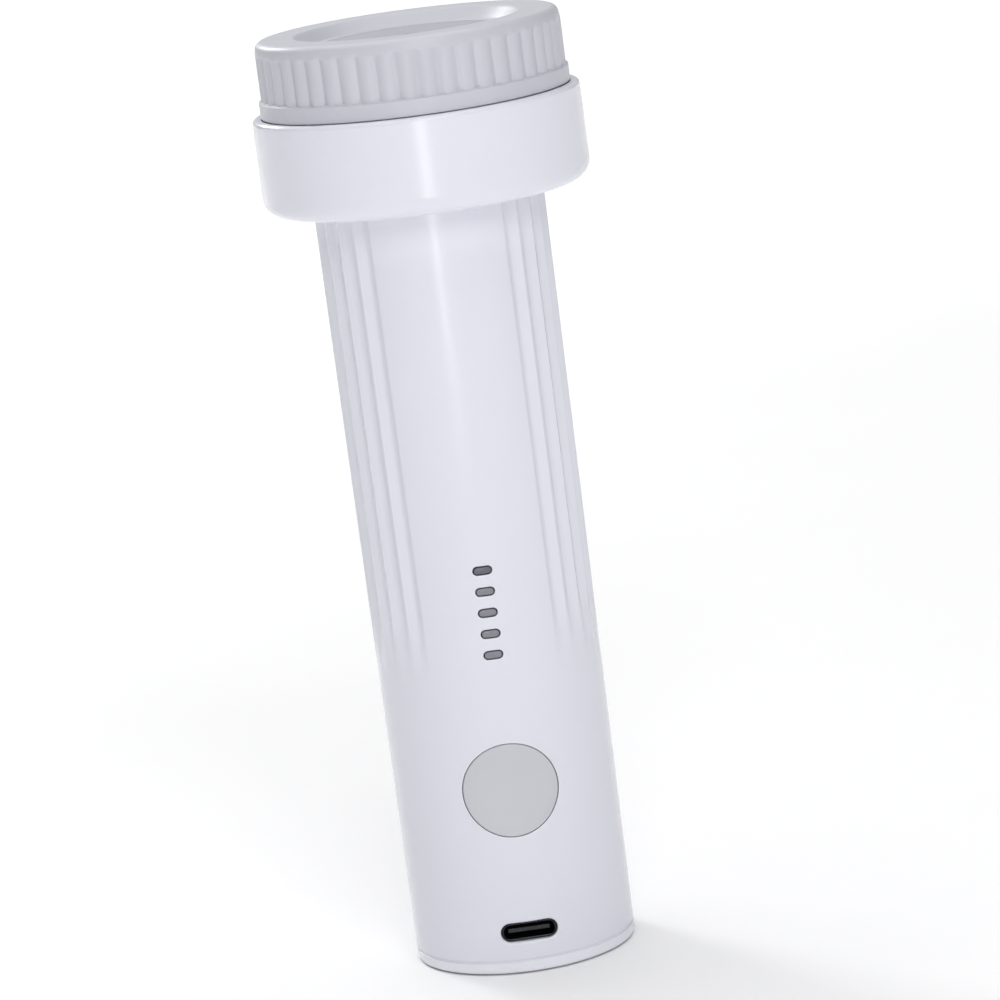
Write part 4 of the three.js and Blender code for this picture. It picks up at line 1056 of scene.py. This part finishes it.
# ---------------------------------------------------------------- floor, light and camera
def build_floor():
    """A wide sheet of pale paper just under the foot, which grows brighter away from the object."""
    half = 6.0
    corners = [(-half, -half, 0), (half, -half, 0), (half, half, 0), (-half, half, 0)]
    mesh = bpy.data.meshes.new("floor")
    mesh.from_pydata(corners, [], [(0, 1, 2, 3)])
    floor = linked("floor", mesh)
    floor.location.z = -0.2 * MM
    material, tree, shader = node_tree("floor_paper")
    place = new_node(tree, "ShaderNodeTexCoord").outputs["Object"]
    grain = noise(tree, place, 60.0, 3.0)
    tone = mixed(tree, grain, (0.93, 0.93, 0.935, 1), (0.95, 0.95, 0.95, 1))
    tree.links.new(tone, shader.inputs["Base Color"])
    away = new_node(tree, "ShaderNodeVectorMath", operation="LENGTH")
    tree.links.new(place, away.inputs[0])
    glow = remap(tree, away.outputs["Value"], 0.5, 2.0, 0.0, 0.4)
    tree.links.new(glow, shader.inputs["Emission Strength"])
    shader.inputs["Emission Color"].default_value = (1, 1, 1, 1)
    shader.inputs["Roughness"].default_value = 0.9
    shader.inputs["Specular IOR Level"].default_value = 0.1
    mesh.materials.append(material)


def towards(azimuth, elevation):
    """The direction of something seen from the object. Azimuth 0 is in front of it."""
    a, e = math.radians(azimuth), math.radians(elevation)
    return Vector((math.sin(a) * math.cos(e), -math.cos(a) * math.cos(e), math.sin(e)))


def area_light(name, azimuth, elevation, distance, size, power, target=(0, 0, 0.08)):
    """A rectangular soft light that faces a target."""
    light = bpy.data.lights.new(name, "AREA")
    light.shape = "RECTANGLE"
    light.size, light.size_y = size
    light.energy = power
    lamp = linked(name, light)
    way = towards(azimuth, elevation)
    lamp.location = Vector(target) + way * distance
    lamp.rotation_euler = way.to_track_quat("Z", "Y").to_euler()
    lamp.visible_camera = False


def sky_light(name, azimuth, elevation, strength):
    """A large soft light that is far away, as from a white ceiling."""
    light = bpy.data.lights.new(name, "SUN")
    light.energy = strength
    light.angle = math.radians(70)
    lamp = linked(name, light)
    lamp.rotation_euler = towards(azimuth, elevation).to_track_quat("Z", "Y").to_euler()


def build_light():
    """A dim room that is lighter on the right, lit in front, from above and from behind."""
    world = bpy.data.worlds.new("studio")
    world.use_nodes = True
    tree = world.node_tree
    background = tree.nodes["Background"]
    across = new_node(tree, "ShaderNodeSeparateXYZ")
    tree.links.new(new_node(tree, "ShaderNodeTexCoord").outputs["Generated"], across.inputs["Vector"])
    side = remap(tree, across.outputs["X"], -1.0, 1.0, 0.0, 1.0)
    room = mixed(tree, side, (0.04, 0.041, 0.045, 1), (0.12, 0.12, 0.125, 1))
    tree.links.new(room, background.inputs["Color"])
    background.inputs["Strength"].default_value = 1.0
    bpy.context.scene.world = world
    area_light("front_softbox", 6, 32, 1.5, (0.7, 0.6), 7.4)
    area_light("low_panel", -1.5, 0, 0.65, (0.07, 0.24), 0.33, target=(0, 0, 0.12))
    area_light("rear_left_softbox", -150, 27, 1.2, (0.25, 0.25), 3.6)
    area_light("backdrop_panel", 178, 12, 3.2, (3.6, 1.2), 4.8)
    sky_light("overhead", 0, 90, 1.6)
    sky_light("high_rear_left", -160, 50, 0.7)


def build_camera():
    """A long lens in front of the object, a little above it, tilted so that the sealer leans to the left."""
    distance, azimuth, elevation, roll = 0.7699, -2.18, 10.56, -7.516
    aim_side, aim_up = -0.437, 0.519
    target = Vector((0, 0, 0.08))
    back = towards(azimuth, elevation)
    right = (-back).cross(Vector((0, 0, 1))).normalized()
    turned = Matrix((right, back.cross(right), back)).transposed()
    for degrees, axis in ((roll, "Z"), (aim_side, "Y"), (-aim_up, "X")):
        turned = turned @ Matrix.Rotation(math.radians(degrees), 3, axis)
    data = bpy.data.cameras.new("camera")
    data.sensor_width = 36.0
    data.lens = 175.97
    camera = linked("camera", data)
    camera.matrix_world = Matrix.Translation(target + back * distance) @ turned.to_4x4()
    bpy.context.scene.camera = camera


# ---------------------------------------------------------------- the whole scene
build_camera()
build_floor()
build_light()
dress_frame()
build_body_tube()
build_base_cap()
build_base_screws()
build_collar()
build_grip_ring()
build_filter_cup()
build_inlet_plate()
build_foam()
build_button()
build_light_windows()
build_usb()

bpy.context.scene.view_settings.view_transform = "Standard"
bpy.context.view_layer.update()
